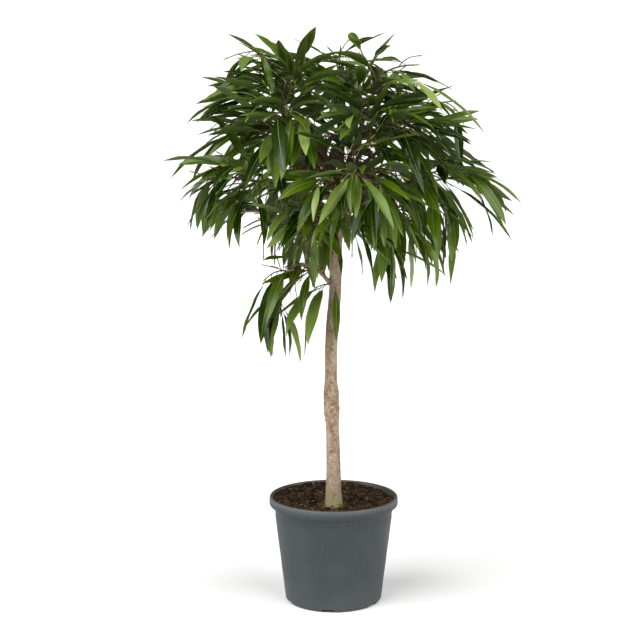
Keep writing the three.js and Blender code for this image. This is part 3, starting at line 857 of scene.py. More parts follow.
for mass in masses:
    for k in range(BARE["count"]):
        draw = draws_from(mass["seed"] * BARE["mass seed"] + BARE["seed"] + k)
        share = mix(BARE["first"], BARE["last"], draw())
        length = mix(BARE["shortest"], BARE["longest"], draw())
        turn, sag = draw() * math.tau, BARE["sag"] * draw()
        bare = grow_bare(mass, mass["line"], share, length, BARE["lean"], turn, sag)
        for b in range(BARE["branches"] if bare is not None else 0):
            share = mix(BARE["branch first"], BARE["branch last"], b / (BARE["branches"] - 1))
            turn, sag = draw() * math.tau, BARE["sag"] * draw()
            shorter = length * mix(BARE["branch least"], BARE["branch most"], draw())
            grow_bare(mass, bare, share, shorter, BARE["branch lean"], turn, sag)
twigs += bare_twigs
print(len(bare_twigs), "old bare twigs")

# %% [markdown]
# ## From lines to round wood
#
# Limbs, twigs and soil fibres are all the same thing to the modeller: a tube of changing thickness along
# a line. One Geometry Nodes tree makes it. It takes a mesh of bare edges with a thickness at each point,
# turns the edges to curves, sweeps a ring along them and closes the ends. The number of sides and the
# material are inputs, so the same tree serves the stem with many sides and the twigs with few.

# %% A tree that sweeps tubes along lines
def new_tree(name, sockets):
    """An empty Geometry Nodes tree with its named inputs: the tree and its input node."""
    tree = bpy.data.node_groups.new(name, "GeometryNodeTree")
    for socket, kind in {"Geometry": "Geometry", **sockets}.items():
        tree.interface.new_socket(socket, in_out="INPUT", socket_type=f"NodeSocket{kind}")
    tree.interface.new_socket("Geometry", in_out="OUTPUT", socket_type="NodeSocketGeometry")
    return tree, add_node(tree, "NodeGroupInput").outputs


def end_tree(tree, geometry, material):
    """Ends a tree in real mesh with its material."""
    real = add_node(tree, "GeometryNodeRealizeInstances", inputs={"Geometry": geometry}).outputs[0]
    painted = add_node(tree, "GeometryNodeSetMaterial", inputs={"Geometry": real, "Material": material})
    add_node(tree, "NodeGroupOutput", inputs={"Geometry": painted.outputs[0]})


def run_tree(tree, mesh, name, values):
    """The plain object that a tree makes from a mesh, with its inputs set."""
    holder = bpy.data.objects.new("holder", mesh)
    scene.collection.objects.link(holder)
    modifier = holder.modifiers.new(tree.name, "NODES")
    modifier.node_group = tree
    for item in tree.interface.items_tree:
        if item.in_out == "INPUT" and item.name in values:
            modifier[item.identifier] = values[item.name]
    return made_plain(holder, name)


def made_plain(holder, name):
    """The plain object that a holder's modifiers make. The holder goes."""
    bpy.context.view_layer.update()
    graph = bpy.context.evaluated_depsgraph_get()
    mesh = bpy.data.meshes.new_from_object(holder.evaluated_get(graph))
    bpy.data.objects.remove(holder)
    return link_piece(mesh, name)


def link_piece(mesh, name):
    mesh.name = name
    piece = bpy.data.objects.new(name, mesh)
    scene.collection.objects.link(piece)
    return piece


def triangles(piece):
    return sum(len(face.vertices) - 2 for face in piece.data.polygons)


def hand_in(piece, nodes):
    """Puts a finished piece on the one body, in place of some nodes of the CAD model."""
    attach(piece, "root")
    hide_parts(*nodes)
    print(piece.name, "has", triangles(piece), "triangles and takes the place of", len(nodes), "nodes")


def lines_mesh(name, lines, radii):
    """A mesh of bare edges along lines, in metres, with the thickness at each point."""
    starts = np.cumsum([0] + [len(line) for line in lines])
    edges = [(i, i + 1) for a, b in zip(starts, starts[1:]) for i in range(a, b - 1)]
    mesh = bpy.data.meshes.new(name)
    mesh.from_pydata((np.vstack(lines) * MM).tolist(), edges, [])
    thickness = mesh.attributes.new("thickness", "FLOAT", "POINT")
    thickness.data.foreach_set("value", np.concatenate(radii) * MM)
    return mesh


tube_tree, given = new_tree("tubes along lines", {"Sides": "Int", "Material": "Material"})
curves = add_node(tube_tree, "GeometryNodeMeshToCurve", inputs={"Mesh": given["Geometry"]})
ring_inputs = {"Resolution": given["Sides"], "Radius": 1.0}
ring = add_node(tube_tree, "GeometryNodeCurvePrimitiveCircle", inputs=ring_inputs)
thick = add_node(tube_tree, "GeometryNodeInputNamedAttribute", {"data_type": "FLOAT"}, {"Name": "thickness"})
swept = add_node(
    tube_tree,
    "GeometryNodeCurveToMesh",
    inputs={
        "Curve": curves.outputs["Curve"],
        "Profile Curve": ring.outputs["Curve"],
        "Scale": thick.outputs["Attribute"],
        "Fill Caps": True,
    },
)
end_tree(tube_tree, swept.outputs["Mesh"], given["Material"])

# %% [markdown]
# ## Bark
#
# The bark of this fig is thin, pale beige and nearly smooth. It has pinkish grey patches, fine level
# wrinkles, small dark pores, and a greenish bloom near the wet soil. The patches are two sizes of noise
# on the object's own coordinates, squeezed along the stem; the pores are the dark hearts of small
# cells. Colour alone looks painted on, so the same patterns also drive a fine bump.

# %% Bark material
def ramp(tree, factor, stops):
    """A colour ramp through some places, each with its hex colour."""
    node = add_node(tree, "ShaderNodeValToRGB", inputs={"Fac": factor})
    elements = node.color_ramp.elements
    added = [elements.new(1) for _ in stops[2:]]
    for (place, code), element in zip(stops, [elements[0], elements[1], *added]):
        element.position = place
        element.color = linear(code)
    return node.outputs["Color"]


def live_output(node):
    """The one output that a node with outputs for several kinds of data uses."""
    return next(s for s in node.outputs if s.enabled)


def blend(tree, factor, under, over):
    """One colour over another by a factor. An over colour given as a hex code is turned linear."""
    over = linear(over) if isinstance(over, str) else over
    inputs = {"Factor": factor, "A": under, "B": over}
    return live_output(add_node(tree, "ShaderNodeMix", {"data_type": "RGBA"}, inputs))


def times(tree, *factors):
    """The product of some masks."""
    product = factors[0]
    for factor in factors[1:]:
        node = add_node(tree, "ShaderNodeMath", {"operation": "MULTIPLY"}, {0: product, 1: factor})
        product = node.outputs[0]
    return product


def part_of(tree, vector, axis):
    return add_node(tree, "ShaderNodeSeparateXYZ", inputs={"Vector": vector}).outputs[axis]


def noise_at(tree, vector, size, detail=3.0, roughness=0.5):
    """Noise whose lumps are about a given size, in millimetres."""
    inputs = {"Vector": vector, "Scale": 1 / (size * MM), "Detail": detail, "Roughness": roughness}
    return add_node(tree, "ShaderNodeTexNoise", inputs=inputs).outputs["Fac"]


def stretched(tree, scale):
    """The object's own coordinates, with the pattern drawn closer along the axes of a larger scale."""
    place = add_node(tree, "ShaderNodeTexCoord").outputs["Object"]
    return add_node(tree, "ShaderNodeMapping", inputs={"Vector": place, "Scale": scale}).outputs["Vector"]


def between(tree, value, start, end, low=0.0, high=1.0):
    inputs = {"Value": value, "From Min": start, "From Max": end, "To Min": low, "To Max": high}
    return add_node(tree, "ShaderNodeMapRange", inputs=inputs).outputs["Result"]


def add_bump(tree, shader, height, distance, strength=1.0):
    inputs = {"Height": height, "Distance": distance * MM, "Strength": strength}
    node = add_node(tree, "ShaderNodeBump", inputs=inputs)
    tree.links.new(node.outputs["Normal"], shader.inputs["Normal"])


def bark_material():
    """Thin fig bark: matt, slightly waxy, with patches, wrinkles and pores."""
    material, tree, shader = new_material("thin pale fig bark", 0.72, 1.45)
    plain = stretched(tree, (1, 1, 1))
    level = stretched(tree, (0.45, 0.45, 1.6))
    patches = noise_at(tree, stretched(tree, (1, 1, 0.4)), 18, 4, 0.65)
    stops = [(0.32, "7A6550"), (0.45, "A08C77"), (0.55, "B2A18E"), (0.63, "A79488"), (0.75, "857265")]
    colour = ramp(tree, patches, stops)
    mottle = noise_at(tree, plain, 5, 4, 0.7)
    colour = blend(tree, between(tree, mottle, 0.5, 0.66, 0, 0.55), colour, "6E5948")
    colour = blend(tree, between(tree, mottle, 0.46, 0.34, 0, 0.5), colour, "CDBDA6")
    wrinkles = noise_at(tree, level, 4, 3, 0.6)
    colour = blend(tree, between(tree, wrinkles, 0.56, 0.7, 0, 0.5), colour, "6B5747")
    cells = add_node(tree, "ShaderNodeTexVoronoi", inputs={"Vector": level, "Scale": 1 / (8 * MM)})
    heart = between(tree, cells.outputs["Distance"], 0.12, 0.24, 0.9, 0)
    chance = between(tree, part_of(tree, cells.outputs["Color"], "X"), 0.5, 0.6)
    colour = blend(tree, times(tree, heart, chance), colour, "46352A")
    height = part_of(tree, plain, "Z")
    knob = times(tree, between(tree, height, 0.505, 0.46), between(tree, height, 0.37, 0.42))
    rust = between(tree, noise_at(tree, plain, 6, 3, 0.6), 0.48, 0.62, 0, 0.75)
    colour = blend(tree, times(tree, knob, rust), colour, "80593C")
    damp = between(tree, height, 0.28, 0.225)
    bloom = between(tree, noise_at(tree, plain, 9), 0.42, 0.62, 0.25, 1)
    colour = blend(tree, times(tree, damp, bloom), colour, "9A9366")
    young = between(tree, height, 0.84, 0.94, 0, 0.85)
    colour = blend(tree, young, colour, "4E3D2A")
    tree.links.new(colour, shader.inputs["Base Color"])
    add_bump(tree, shader, blend(tree, 0.5, wrinkles, mottle), 1.1, 0.8)
    return material


# %% [markdown]
# ## The stem and the boughs
#
# Wood grows as one body: a bough leaves the stem in a soft collar, not in a hard seam. So all limbs are
# swept as overlapping tubes, fused by a voxel remesh, and rubbed smooth a little. That leaves an even
# net of small faces, which then carries the bark's relief as real geometry: lumps on the knob and the
# head, root swellings at the foot, long shallow flutes and level wrinkles.

# %% Fused wood with bark relief
WOOD_SIDES = 28
WOOD_VOXEL = 1.7
SOFTENING = {"times": 4, "factor": 0.5}
# How far the fusing and softening draw the surface in.
DRAWN_IN = 0.5
FOOT_BURIED = 5

foot = stem_steps[0] - UP * FOOT_BURIED
stem_line = np.vstack([foot, stem_steps])
stem_thick = np.concatenate([[stem_radii[0]], stem_radii])
limb_lines = [stem_line] + [mass["line"] for mass in masses]
limb_radii = [stem_thick] + [mass["radii"] for mass in masses]
for mass, kind, line in twigs:
    if kind == "leader":
        limb_lines.append(line)
        limb_radii.append(np.linspace(mass["radii"][-1], TWIG_RADII["leader"][1], len(line)))

limbs = lines_mesh("limb lines", limb_lines, limb_radii)
tubes = run_tree(tube_tree, limbs, "tubes", {"Sides": WOOD_SIDES})
remesh = tubes.modifiers.new("fuse", "REMESH")
remesh.mode = "VOXEL"
remesh.voxel_size = WOOD_VOXEL * MM
soften = tubes.modifiers.new("soften", "SMOOTH")
soften.iterations = SOFTENING["times"]
soften.factor = SOFTENING["factor"]
wood = made_plain(tubes, "bark_and_wood")


def noise_of(points, scale):
    """Noise between about -1 and 1 at each point, stretched by a size in millimetres along each axis."""
    return np.array([noise.noise(p) for p in points / np.array(scale)])


def mesh_arrays(mesh):
    """A mesh's points in millimetres and its normals."""
    points, normals = np.empty((2, len(mesh.vertices) * 3))
    mesh.vertices.foreach_get("co", points)
    mesh.vertices.foreach_get("normal", normals)
    return points.reshape(-1, 3) / MM, normals.reshape(-1, 3)


def set_points(mesh, points):
    mesh.vertices.foreach_set("co", (points * MM).ravel())
    mesh.update()


# Each kind of relief: its height, and its size along each axis.
RELIEF = {
    "flutes": (0.55, (16, 16, 60)),
    "ribs": (0.35, (5, 5, 26)),
    "wrinkles": (0.28, (12, 12, 2.6)),
    "grain": (0.2, (3, 3, 3)),
    "knob": (1.5, (11, 11, 9)),
    "head": (2.2, (13, 13, 12)),
}
# How far from their middle the lumps of knob and head fade out, and where the bark grows calmer.
FADE = {"knob": 34, "head": 40}
CALM = {"level": 905, "over": 40, "least": 0.25}
ROOTS = {"count": 5, "turn": 1.1, "height": 1.6, "fade": 14, "below": 280}


def relief_of(points, kind, weight=1.0):
    height, size = RELIEF[kind]
    return weight * height * noise_of(points, size)


def bark_relief(points):
    """How far the bark stands out at each point, in millimetres."""
    z = points[:, 2]
    on_stem = np.clip((CALM["level"] - z) / CALM["over"], CALM["least"], 1)
    relief = relief_of(points, "flutes") + relief_of(points, "ribs")
    relief += relief_of(points, "wrinkles") + relief_of(points, "grain")
    knob = np.exp(-(((z - (KNOB["level"] + UPPER_KNOB["level"]) / 2) / FADE["knob"]) ** 2))
    head = np.exp(-(((z - HEAD["level"]) / FADE["head"]) ** 2))
    relief += relief_of(points, "knob", knob) + relief_of(points, "head", head)
    around = np.arctan2(points[:, 1], points[:, 0])
    lobes = np.clip(np.sin(ROOTS["count"] * around + ROOTS["turn"]), 0, 1)
    roots = np.exp(-(z - STEM["foot"]) / ROOTS["fade"]) * lobes * ROOTS["height"]
    return relief * on_stem + np.where(z < ROOTS["below"], roots, 0) + DRAWN_IN


wood_points, wood_normals = mesh_arrays(wood.data)
set_points(wood.data, wood_points + wood_normals * bark_relief(wood_points)[:, None])
wood.data.materials.clear()
wood.data.materials.append(bark_material())
wood.data.shade_smooth()
hand_in(wood, ["stem", *[mass["bough"] for mass in masses]])

# %% [markdown]
# ## Twigs, stalks and buds
#
# Shoots of this year are green, older ones are brown, and the old bare ones are dry and reddish. Each
# living twig ends in the slim pointed bud that a fig carries. The twigs go through the same tube tree
# with six sides, which is enough for two millimetres of wood.

# %% Twig materials and meshes
TWIG_SIDES = 6


def twig_material(name, dark, pale):
    """Young bark: smooth and slightly waxy, mottled over a few millimetres."""
    material, tree, shader = new_material(name, 0.55, 1.45)
    mottle = noise_at(tree, stretched(tree, (1, 1, 1)), 6)
    tree.links.new(ramp(tree, mottle, [(0.35, dark), (0.65, pale)]), shader.inputs["Base Color"])
    return material


def twig_piece(name, kind, material):
    chosen = [line for _, twig_kind, line in twigs if twig_kind == kind]
    radii = [np.linspace(*TWIG_RADII[kind], len(line)) for line in chosen]
    values = {"Sides": TWIG_SIDES, "Material": material}
    piece = run_tree(tube_tree, lines_mesh(name, chosen, radii), name, values)
    piece.data.shade_smooth()
    hand_in(piece, foliage_nodes)


foliage_nodes = [mass["name"] for mass in masses]
twig_piece("shoots", "shoot", twig_material("brown shoot bark", "433421", "69553C"))
twig_piece("inner_twigs", "inner", twig_material("grey brown twig bark", "463722", "6E5C42"))
twig_piece("twiglets", "twiglet", twig_material("green twig bark", "55592F", "7B7F48"))
twig_piece("bare_twigs", "bare", twig_material("dry red brown twig bark", "4A2F1C", "7A5A3A"))

# %% Leaf tints
# Fig leaves are thick and glossy with a waxy skin, so they mirror the windows softly, and some light
# passes through them. The tints are plain colours, dealt out by spray: most sprays are dark, some are
# fresh, and a few new tips are yellow green.
LEAF_ROUGH = 0.24
LEAF_IOR = 1.45
TINTS = {"deep leaf": "1F3304", "grown leaf": "475E12", "fresh leaf": "647A38", "young leaf": "889B58"}
TINT_SHARES = [0.4, 0.8, 0.97, 1]
RIB_COLOUR = "7C8E46"
UNDER_COLOUR = "4C602C"
# The share of light that passes through, and how far its red, green and blue go in the leaf.
THROUGH = {"weight": 0.09, "radius": (0.8, 1.0, 0.3), "millimetres": 5}


def leaf_paint(name, roughness, code):
    """A waxy skin over soft green tissue."""
    material, _, shader = new_material(name, roughness, LEAF_IOR, code)
    shader.inputs["Subsurface Weight"].default_value = THROUGH["weight"]
    shader.inputs["Subsurface Radius"].default_value = THROUGH["radius"]
    shader.inputs["Subsurface Scale"].default_value = THROUGH["millimetres"] * MM
    return material


leaf_paints = [leaf_paint(name, LEAF_ROUGH, code) for name, code in TINTS.items()]
leaf_paints.append(leaf_paint("pale leaf midrib and stalk", 0.45, RIB_COLOUR))
leaf_paints.append(leaf_paint("matt leaf underside", 0.6, UNDER_COLOUR))
RIB_SLOT = len(TINTS)
UNDER_SLOT = RIB_SLOT + 1
# A leaf is one tint lighter than its spray where its own draw is above this: often at a twig's tip.
LIGHTER_ABOVE = {"tip": 0.5, "side": 0.88}
TINT_SEED = 7


def tint_of(leaf):
    """The number of a leaf's tint."""
    spray_draw = draws_from(leaf["mass"]["seed"] * TINT_SEED + leaf["spray"])()
    tint = int(np.searchsorted(TINT_SHARES, spray_draw))
    lighter = leaf["draw"] > LIGHTER_ABOVE["tip" if leaf["terminal"] else "side"]
    return min(tint + lighter, len(TINTS) - 1)


# %% One leaf's corners and faces
# The midrib's half width, keel and rise in millimetres, its most share of the blade and its taper.
RIB = {"half": 0.75, "keel": 0.9, "up": 0.25, "most": 0.5, "taper": 0.35}
FOLD = {"least": 0.12, "most": 0.5}
WAVE = {"size": 0.13, "turns": 11, "apart": 2}
ACROSS = 5
STATION_COUNT = len(ALONG)
STALK_RADIUS = 0.95
STALK_RINGS = 3
STALK_CORNERS = np.radians([90, 210, 330])
BLADE_CORNERS = ACROSS * STATION_COUNT


def leaf_corners(leaf):
    """The corners of one leaf: five across at each station of the blade, then the three-sided stalk."""
    draw = draws_from(int(leaf["draw"] * 1e6) + 1)
    fold, wave_start = mix(FOLD["least"], FOLD["most"], draw()), draw() * math.tau
    centre, side, lift = leaf["points"][2:], leaf["sides"][2:], leaf["lifts"][2:]
    half = (WIDTHS * leaf["half"])[:, None]
    taper = mix(1, RIB["taper"], ALONG)[:, None]
    rib = np.minimum(RIB["half"] * taper, half * RIB["most"])
    along = ALONG * WAVE["turns"] + wave_start
    waves = [half * WAVE["size"] * np.sin(along + k * WAVE["apart"])[:, None] for k in (0, 1)]
    left = centre - side * half * math.cos(fold) + lift * (half * math.sin(fold) + waves[0])
    right = centre + side * half * math.cos(fold) + lift * (half * math.sin(fold) + waves[1])
    rib_up = lift * RIB["up"] * taper
    keel = centre - lift * np.minimum(RIB["keel"] * taper, half)
    blade = np.stack([left, centre - side * rib + rib_up, centre + side * rib + rib_up, right, keel], axis=1)
    stalk = []
    for k in range(STALK_RINGS):
        for angle in STALK_CORNERS:
            around = leaf["sides"][k] * math.cos(angle) + leaf["lifts"][k] * math.sin(angle)
            stalk.append(leaf["points"][k] + around * STALK_RADIUS)
    return np.vstack([blade.reshape(-1, 3), stalk])


def leaf_faces():
    """The faces of one leaf as corner numbers, with what each one is: blade, rib, underside or stalk.

    A face of the blade and the one below it start at the same corner of the margin, so that both fold
    along the same diagonal and neither comes through the other.
    """
    faces, parts = [], []
    for k in range(STATION_COUNT - 1):
        a, b = ACROSS * k, ACROSS * (k + 1)
        faces += [(a, b, b + 1, a + 1), (a + 1, b + 1, b + 2, a + 2), (a + 3, a + 2, b + 2, b + 3)]
        faces += [(a + 3, b + 3, b + 4, a + 4), (a, a + 4, b + 4, b)]
        parts += ["blade", "rib", "blade", "under", "under"]
    last = BLADE_CORNERS - ACROSS
    faces += [(0, 1, 2, 3, 4), tuple(last + i for i in (4, 3, 2, 1, 0))]
    parts += ["rib", "blade"]
    for k in range(STALK_RINGS - 1):
        for i in range(3):
            a, j = BLADE_CORNERS + 3 * k, (i + 1) % 3
            faces.append((a + i, a + 3 + i, a + 3 + j, a + j))
            parts.append("rib")
    faces += [tuple(BLADE_CORNERS + i for i in ends) for ends in ((2, 1, 0), (6, 7, 8))]
    parts += ["rib", "rib"]
    return faces, parts


LEAF_FACES, LEAF_PARTS = leaf_faces()
CORNERS = BLADE_CORNERS + STALK_RINGS * len(STALK_CORNERS)
print("one leaf has", len(LEAF_FACES), "faces and", CORNERS, "corners")


# %% Join the leaves
def margin_edges(mesh):
    """Which edges run along a blade's margin. They stay sharp, so that its two faces shade apart."""
    ends = np.empty(len(mesh.edges) * 2, int)
    mesh.edges.foreach_get("vertices", ends)
    place = ends.reshape(-1, 2) % CORNERS
    on_margin = (place < BLADE_CORNERS) & np.isin(place % ACROSS, (0, 3))
    return on_margin.all(axis=1)


def leaf_piece(name, chosen, replaced):
    corners = np.vstack([leaf_corners(leaf) for leaf in chosen]) * MM
    faces = [tuple(i + CORNERS * n for i in face) for n in range(len(chosen)) for face in LEAF_FACES]
    mesh = bpy.data.meshes.new(name)
    mesh.from_pydata(corners.tolist(), [], faces)
    for paint in leaf_paints:
        mesh.materials.append(paint)
    slots = {"rib": RIB_SLOT, "under": UNDER_SLOT}
    numbers = [slots.get(part, tint_of(leaf)) for leaf in chosen for part in LEAF_PARTS]
    mesh.polygons.foreach_set("material_index", numbers)
    mesh.shade_smooth()
    sharp = mesh.attributes.new("sharp_edge", "BOOLEAN", "EDGE")
    sharp.data.foreach_set("value", margin_edges(mesh))
    hand_in(link_piece(mesh, name), replaced)


RINGS = {"outer": ["outer"], "upper": ["upper"], "lower": ["lower", "low"], "top": ["top"]}
for ring_name, tiers in RINGS.items():
    chosen = [leaf for leaf in leaves if leaf["mass"]["tier"] in tiers]
    replaced = [mass["name"] for mass in masses if mass["tier"] in tiers]
    leaf_piece(f"leaves_{ring_name}", chosen, replaced)

# %% Buds
BUD = {"length": 13, "radius": 1.7, "sides": 5}
# Along a bud, as shares of its length, and its thickness there as a share of its own.
BUD_ALONG = (0, 0.3, 0.7, 1)
BUD_THICK = np.array([0.7, 1, 0.6, 0.08])


def bud_line(twig):
    ahead = unit(twig[-1] - twig[-2]) * BUD["length"]
    return np.array([twig[-1] + ahead * share for share in BUD_ALONG])


bud_lines = [bud_line(line) for _, kind, line in twigs if kind not in ("leader", "bare")]
bud_radii = [BUD["radius"] * BUD_THICK for _ in bud_lines]
bud_paint = new_material("young green bud sheath", 0.4, 1.45, "8C9A4C")[0]
values = {"Sides": BUD["sides"], "Material": bud_paint}
buds = run_tree(tube_tree, lines_mesh("buds", bud_lines, bud_radii), "buds", values)
buds.data.shade_smooth()
hand_in(buds, foliage_nodes)

# %% [markdown]
# ## The pot
#
# A nursery pot is injection moulded from recycled polypropylene: slate grey, satin, a little cloudy, with
# faint upright flow marks and a dusty foot. It is one turned wall with a rolled rim band, a small step
# under it and a rounded foot. A profile swept round the middle gives all of that. The drain slots are
# cut through the corner of the foot with a Boolean, as a mould's cores would.

# %% The pot's profile
POT = {"height": 232, "rim": 142, "rim height": 19.5, "neck": 132, "base": 107}
POT |= {"corner": 7, "wall": 3, "floor": 4}
STEP = {"down": 34, "in": 1.5, "height": 2}
LIP = {"width": 4, "inner": 134.5, "bevel": 1.5, "round": 3.4}
DRAIN = {"count": 6, "width": 26, "height": 6, "reach": 16, "turn": -97}
POT_SIDES = 192
# A profile ends this near the axis, so that its first and last ring can be closed.
ON_AXIS = 0.01
RIM_FOOT = POT["height"] - POT["rim height"]
STEP_LEVEL = POT["height"] - STEP["down"]


def wall_radius(z):
    return mix(POT["base"], POT["neck"], (z - POT["corner"]) / (RIM_FOOT - POT["corner"]))


def arc(middle, radius, start, end, count):
    """Points on an arc in the profile's plane, from one angle to another in degrees."""
    angles = np.radians(np.linspace(start, end, count))
    return [(middle[0] + radius * math.cos(a), middle[1] + radius * math.sin(a)) for a in angles]


def pot_profile():
    """The wall's outline in (radius, level), from the middle of the underside round to the inside floor.

    The small numbers are millimetres from the rim, the neck, the step or a level: the rolled forms.
    """
    corner, wall, rim, neck = POT["corner"], POT["wall"], POT["rim"], POT["neck"]
    step = wall_radius(STEP_LEVEL)
    outer = [(ON_AXIS, 0), (POT["base"] * 0.5, 0), *arc((POT["base"] - corner, corner), corner, -90, 0, 8)]
    outer += [(wall_radius(z), z) for z in np.linspace(16, STEP_LEVEL - 12, 24)]
    outer += [(wall_radius(STEP_LEVEL - 3) - 0.8, STEP_LEVEL - 3), (step - STEP["in"], STEP_LEVEL)]
    outer += [(step - 0.1, STEP_LEVEL + STEP["height"])]
    outer += [(wall_radius(z), z) for z in (STEP_LEVEL + 4, STEP_LEVEL + 8)]
    fillet = [(neck + 0.1, RIM_FOOT - 1.5), (neck + 1.2, RIM_FOOT), (rim - 3.2, RIM_FOOT + 0.1)]
    band = [(rim - 1.2, RIM_FOOT + 1), (rim - 0.3, RIM_FOOT + 3.5), (rim, RIM_FOOT + 7)]
    band += [(rim - 0.2, RIM_FOOT + 11), (rim - 1.0, RIM_FOOT + 15)]
    lip = arc((rim - LIP["width"], POT["height"] - LIP["round"]), LIP["round"], 15, 100, 7)
    inner = [(LIP["inner"] + 0.8, POT["height"] - 0.4), (LIP["inner"], POT["height"] - LIP["bevel"])]
    inner += [(neck - wall, RIM_FOOT - wall), (step - wall - 1.5, STEP_LEVEL - 2)]
    inner += [(POT["base"] - wall, 10), (POT["base"] - wall - 6, POT["floor"]), (ON_AXIS, POT["floor"])]
    return np.array(outer + fillet + band + lip + inner)


def turned_mesh(name, profile, sides):
    """A closed mesh: the profile turned round the Z axis, closed at its two ends on the axis."""
    angles = np.linspace(0, math.tau, sides, endpoint=False)
    radius, level = profile[:, 0][:, None], profile[:, 1][:, None]
    rings = np.stack([radius * np.cos(angles), radius * np.sin(angles), level + 0 * angles], axis=2)
    rows = len(profile)
    faces = [
        (r * sides + i, r * sides + (i + 1) % sides, (r + 1) * sides + (i + 1) % sides, (r + 1) * sides + i)
        for r in range(rows - 1)
        for i in range(sides)
    ]
    faces += [tuple(reversed(range(sides))), tuple(range((rows - 1) * sides, rows * sides))]
    mesh = bpy.data.meshes.new(name)
    mesh.from_pydata((rings.reshape(-1, 3) * MM).tolist(), [], faces)
    return mesh


# %% Pot material
# Small moulded pits under the rim, in degrees round the pot. Each is only painted: a dark spot of painted
# shade, with no dent.
PAINTED_PIT_SHADE = {"level": 191, "turns": (-138.8, -132.3, -64.3, -58.8), "radius": 1.5}


def pot_material():
    """Recycled polypropylene, injection moulded: satin, slightly cloudy, with flow marks and dust, a painted
    highlight on the rim band and painted shade in small pits.
    """
    material, tree, shader = new_material("moulded slate grey polypropylene", 0.5, 1.49)
    plain = stretched(tree, (1, 1, 1))
    upright = stretched(tree, (1, 1, 0.12))
    clouds = noise_at(tree, plain, 60, 3)
    colour = ramp(tree, clouds, [(0.3, "363C40"), (0.55, "3C4246"), (0.75, "42484C")])
    flow = noise_at(tree, upright, 7, 3, 0.6)
    colour = blend(tree, between(tree, flow, 0.55, 0.75, 0, 0.16), colour, "666D70")
    specks = noise_at(tree, plain, 2.0, 2)
    colour = blend(tree, between(tree, specks, 0.66, 0.74, 0, 0.3), colour, "757B7D")
    height = part_of(tree, plain, "Z")
    # Lighter towards the top of the rim band: a painted highlight where the rim catches the light.
    rim = between(tree, height, (RIM_FOOT + 7) * MM, (POT["height"] - 2) * MM, 0, 0.38)
    colour = blend(tree, rim, colour, "7C807E")
    level_place = stretched(tree, (1, 1, 0))
    out = add_node(tree, "ShaderNodeVectorMath", {"operation": "LENGTH"}, {0: level_place}).outputs["Value"]
    inside = between(tree, out, (LIP["inner"] + 5.5) * MM, (LIP["inner"] + 2.5) * MM)
    above = between(tree, height, (RIM_FOOT + 0.5) * MM, (RIM_FOOT + 2) * MM)
    stain = between(tree, noise_at(tree, plain, 12, 3), 0.35, 0.6, 0.45, 0.85)
    colour = blend(tree, times(tree, stain, inside, above), colour, "54493A")
    dust = between(tree, height, 0.07, 0.0, 0, 0.25)
    colour = blend(tree, dust, colour, "5C6062")
    relief = blend(tree, 0.5, flow, noise_at(tree, plain, 1.2))
    # Each pit is a dark spot of painted shade: the surface has no dent there.
    for turn in PAINTED_PIT_SHADE["turns"]:
        angle, out = math.radians(turn), wall_radius(PAINTED_PIT_SHADE["level"]) * MM
        place = (out * math.cos(angle), out * math.sin(angle), PAINTED_PIT_SHADE["level"] * MM)
        apart = add_node(tree, "ShaderNodeVectorMath", {"operation": "DISTANCE"}, {0: plain, 1: place})
        pit_shade = between(tree, apart.outputs["Value"], PAINTED_PIT_SHADE["radius"] * MM, PAINTED_PIT_SHADE["radius"] * MM * 1.7, 0.55, 0)
        colour = blend(tree, pit_shade, colour, "1E2225")
    tree.links.new(colour, shader.inputs["Base Color"])
    tree.links.new(between(tree, clouds, 0.3, 0.7, 0.42, 0.58), shader.inputs["Roughness"])
    add_bump(tree, shader, relief, 0.25, 0.5)
    return material


# %% Pot mesh
# How far the thin wall wavers, and where that starts: above the foot, and off the underside's middle.
POT_WAVE = {"size": 0.45, "foot": 12, "grows over": 30, "clear middle": 60}
SHARP_FROM = math.radians(38)

blank = link_piece(turned_mesh("pot wall", pot_profile(), POT_SIDES), "blank")
cores = bmesh.new()
for i in range(DRAIN["count"]):
    turn = Matrix.Rotation(math.radians(DRAIN["turn"] + i * 360 / DRAIN["count"]), 4, "Z")
    place = Matrix.Translation((POT["base"] * MM, 0, 0))
    size = Matrix.Diagonal((DRAIN["reach"] * 2 * MM, DRAIN["width"] * MM, DRAIN["height"] * 2 * MM, 1))
    bmesh.ops.create_cube(cores, size=1, matrix=turn @ place @ size)
core_mesh = bpy.data.meshes.new("drain cores")
cores.to_mesh(core_mesh)
cores.free()
core_object = link_piece(core_mesh, "cores")
cut = blank.modifiers.new("drain slots", "BOOLEAN")
cut.operation = "DIFFERENCE"
cut.object = core_object
cut.solver = "EXACT"
pot = made_plain(blank, "moulded_pot")
bpy.data.objects.remove(core_object)

pot_points, _ = mesh_arrays(pot.data)
rising = np.clip((pot_points[:, 2] - POT_WAVE["foot"]) / POT_WAVE["grows over"], 0, 1)
wavering = noise_of(pot_points, (45, 45, 30)) * POT_WAVE["size"] * rising - POT_WAVE["size"]
out = np.linalg.norm(pot_points[:, :2], axis=1)
outward = pot_points[:, :2] / np.maximum(out, 1)[:, None]
pot_points[:, :2] += outward * (wavering * (out > POT_WAVE["clear middle"]))[:, None]
set_points(pot.data, pot_points)
pot.data.materials.clear()
pot.data.materials.append(pot_material())
pot.data.shade_smooth()
pot.data.set_sharp_from_angle(angle=SHARP_FROM)
hand_in(pot, ["pot"])

# %% [markdown]
# ## The soil
#
# Potting soil is dark crumbs of peat with bark chips and pale fibres. One mesh gives the bed with its
# hollows and humps. On it Geometry Nodes scatter crumbs and chips: points on the upper faces, a small
# rough stone on each, turned and sized at random from a fixed seed, and all made real mesh.

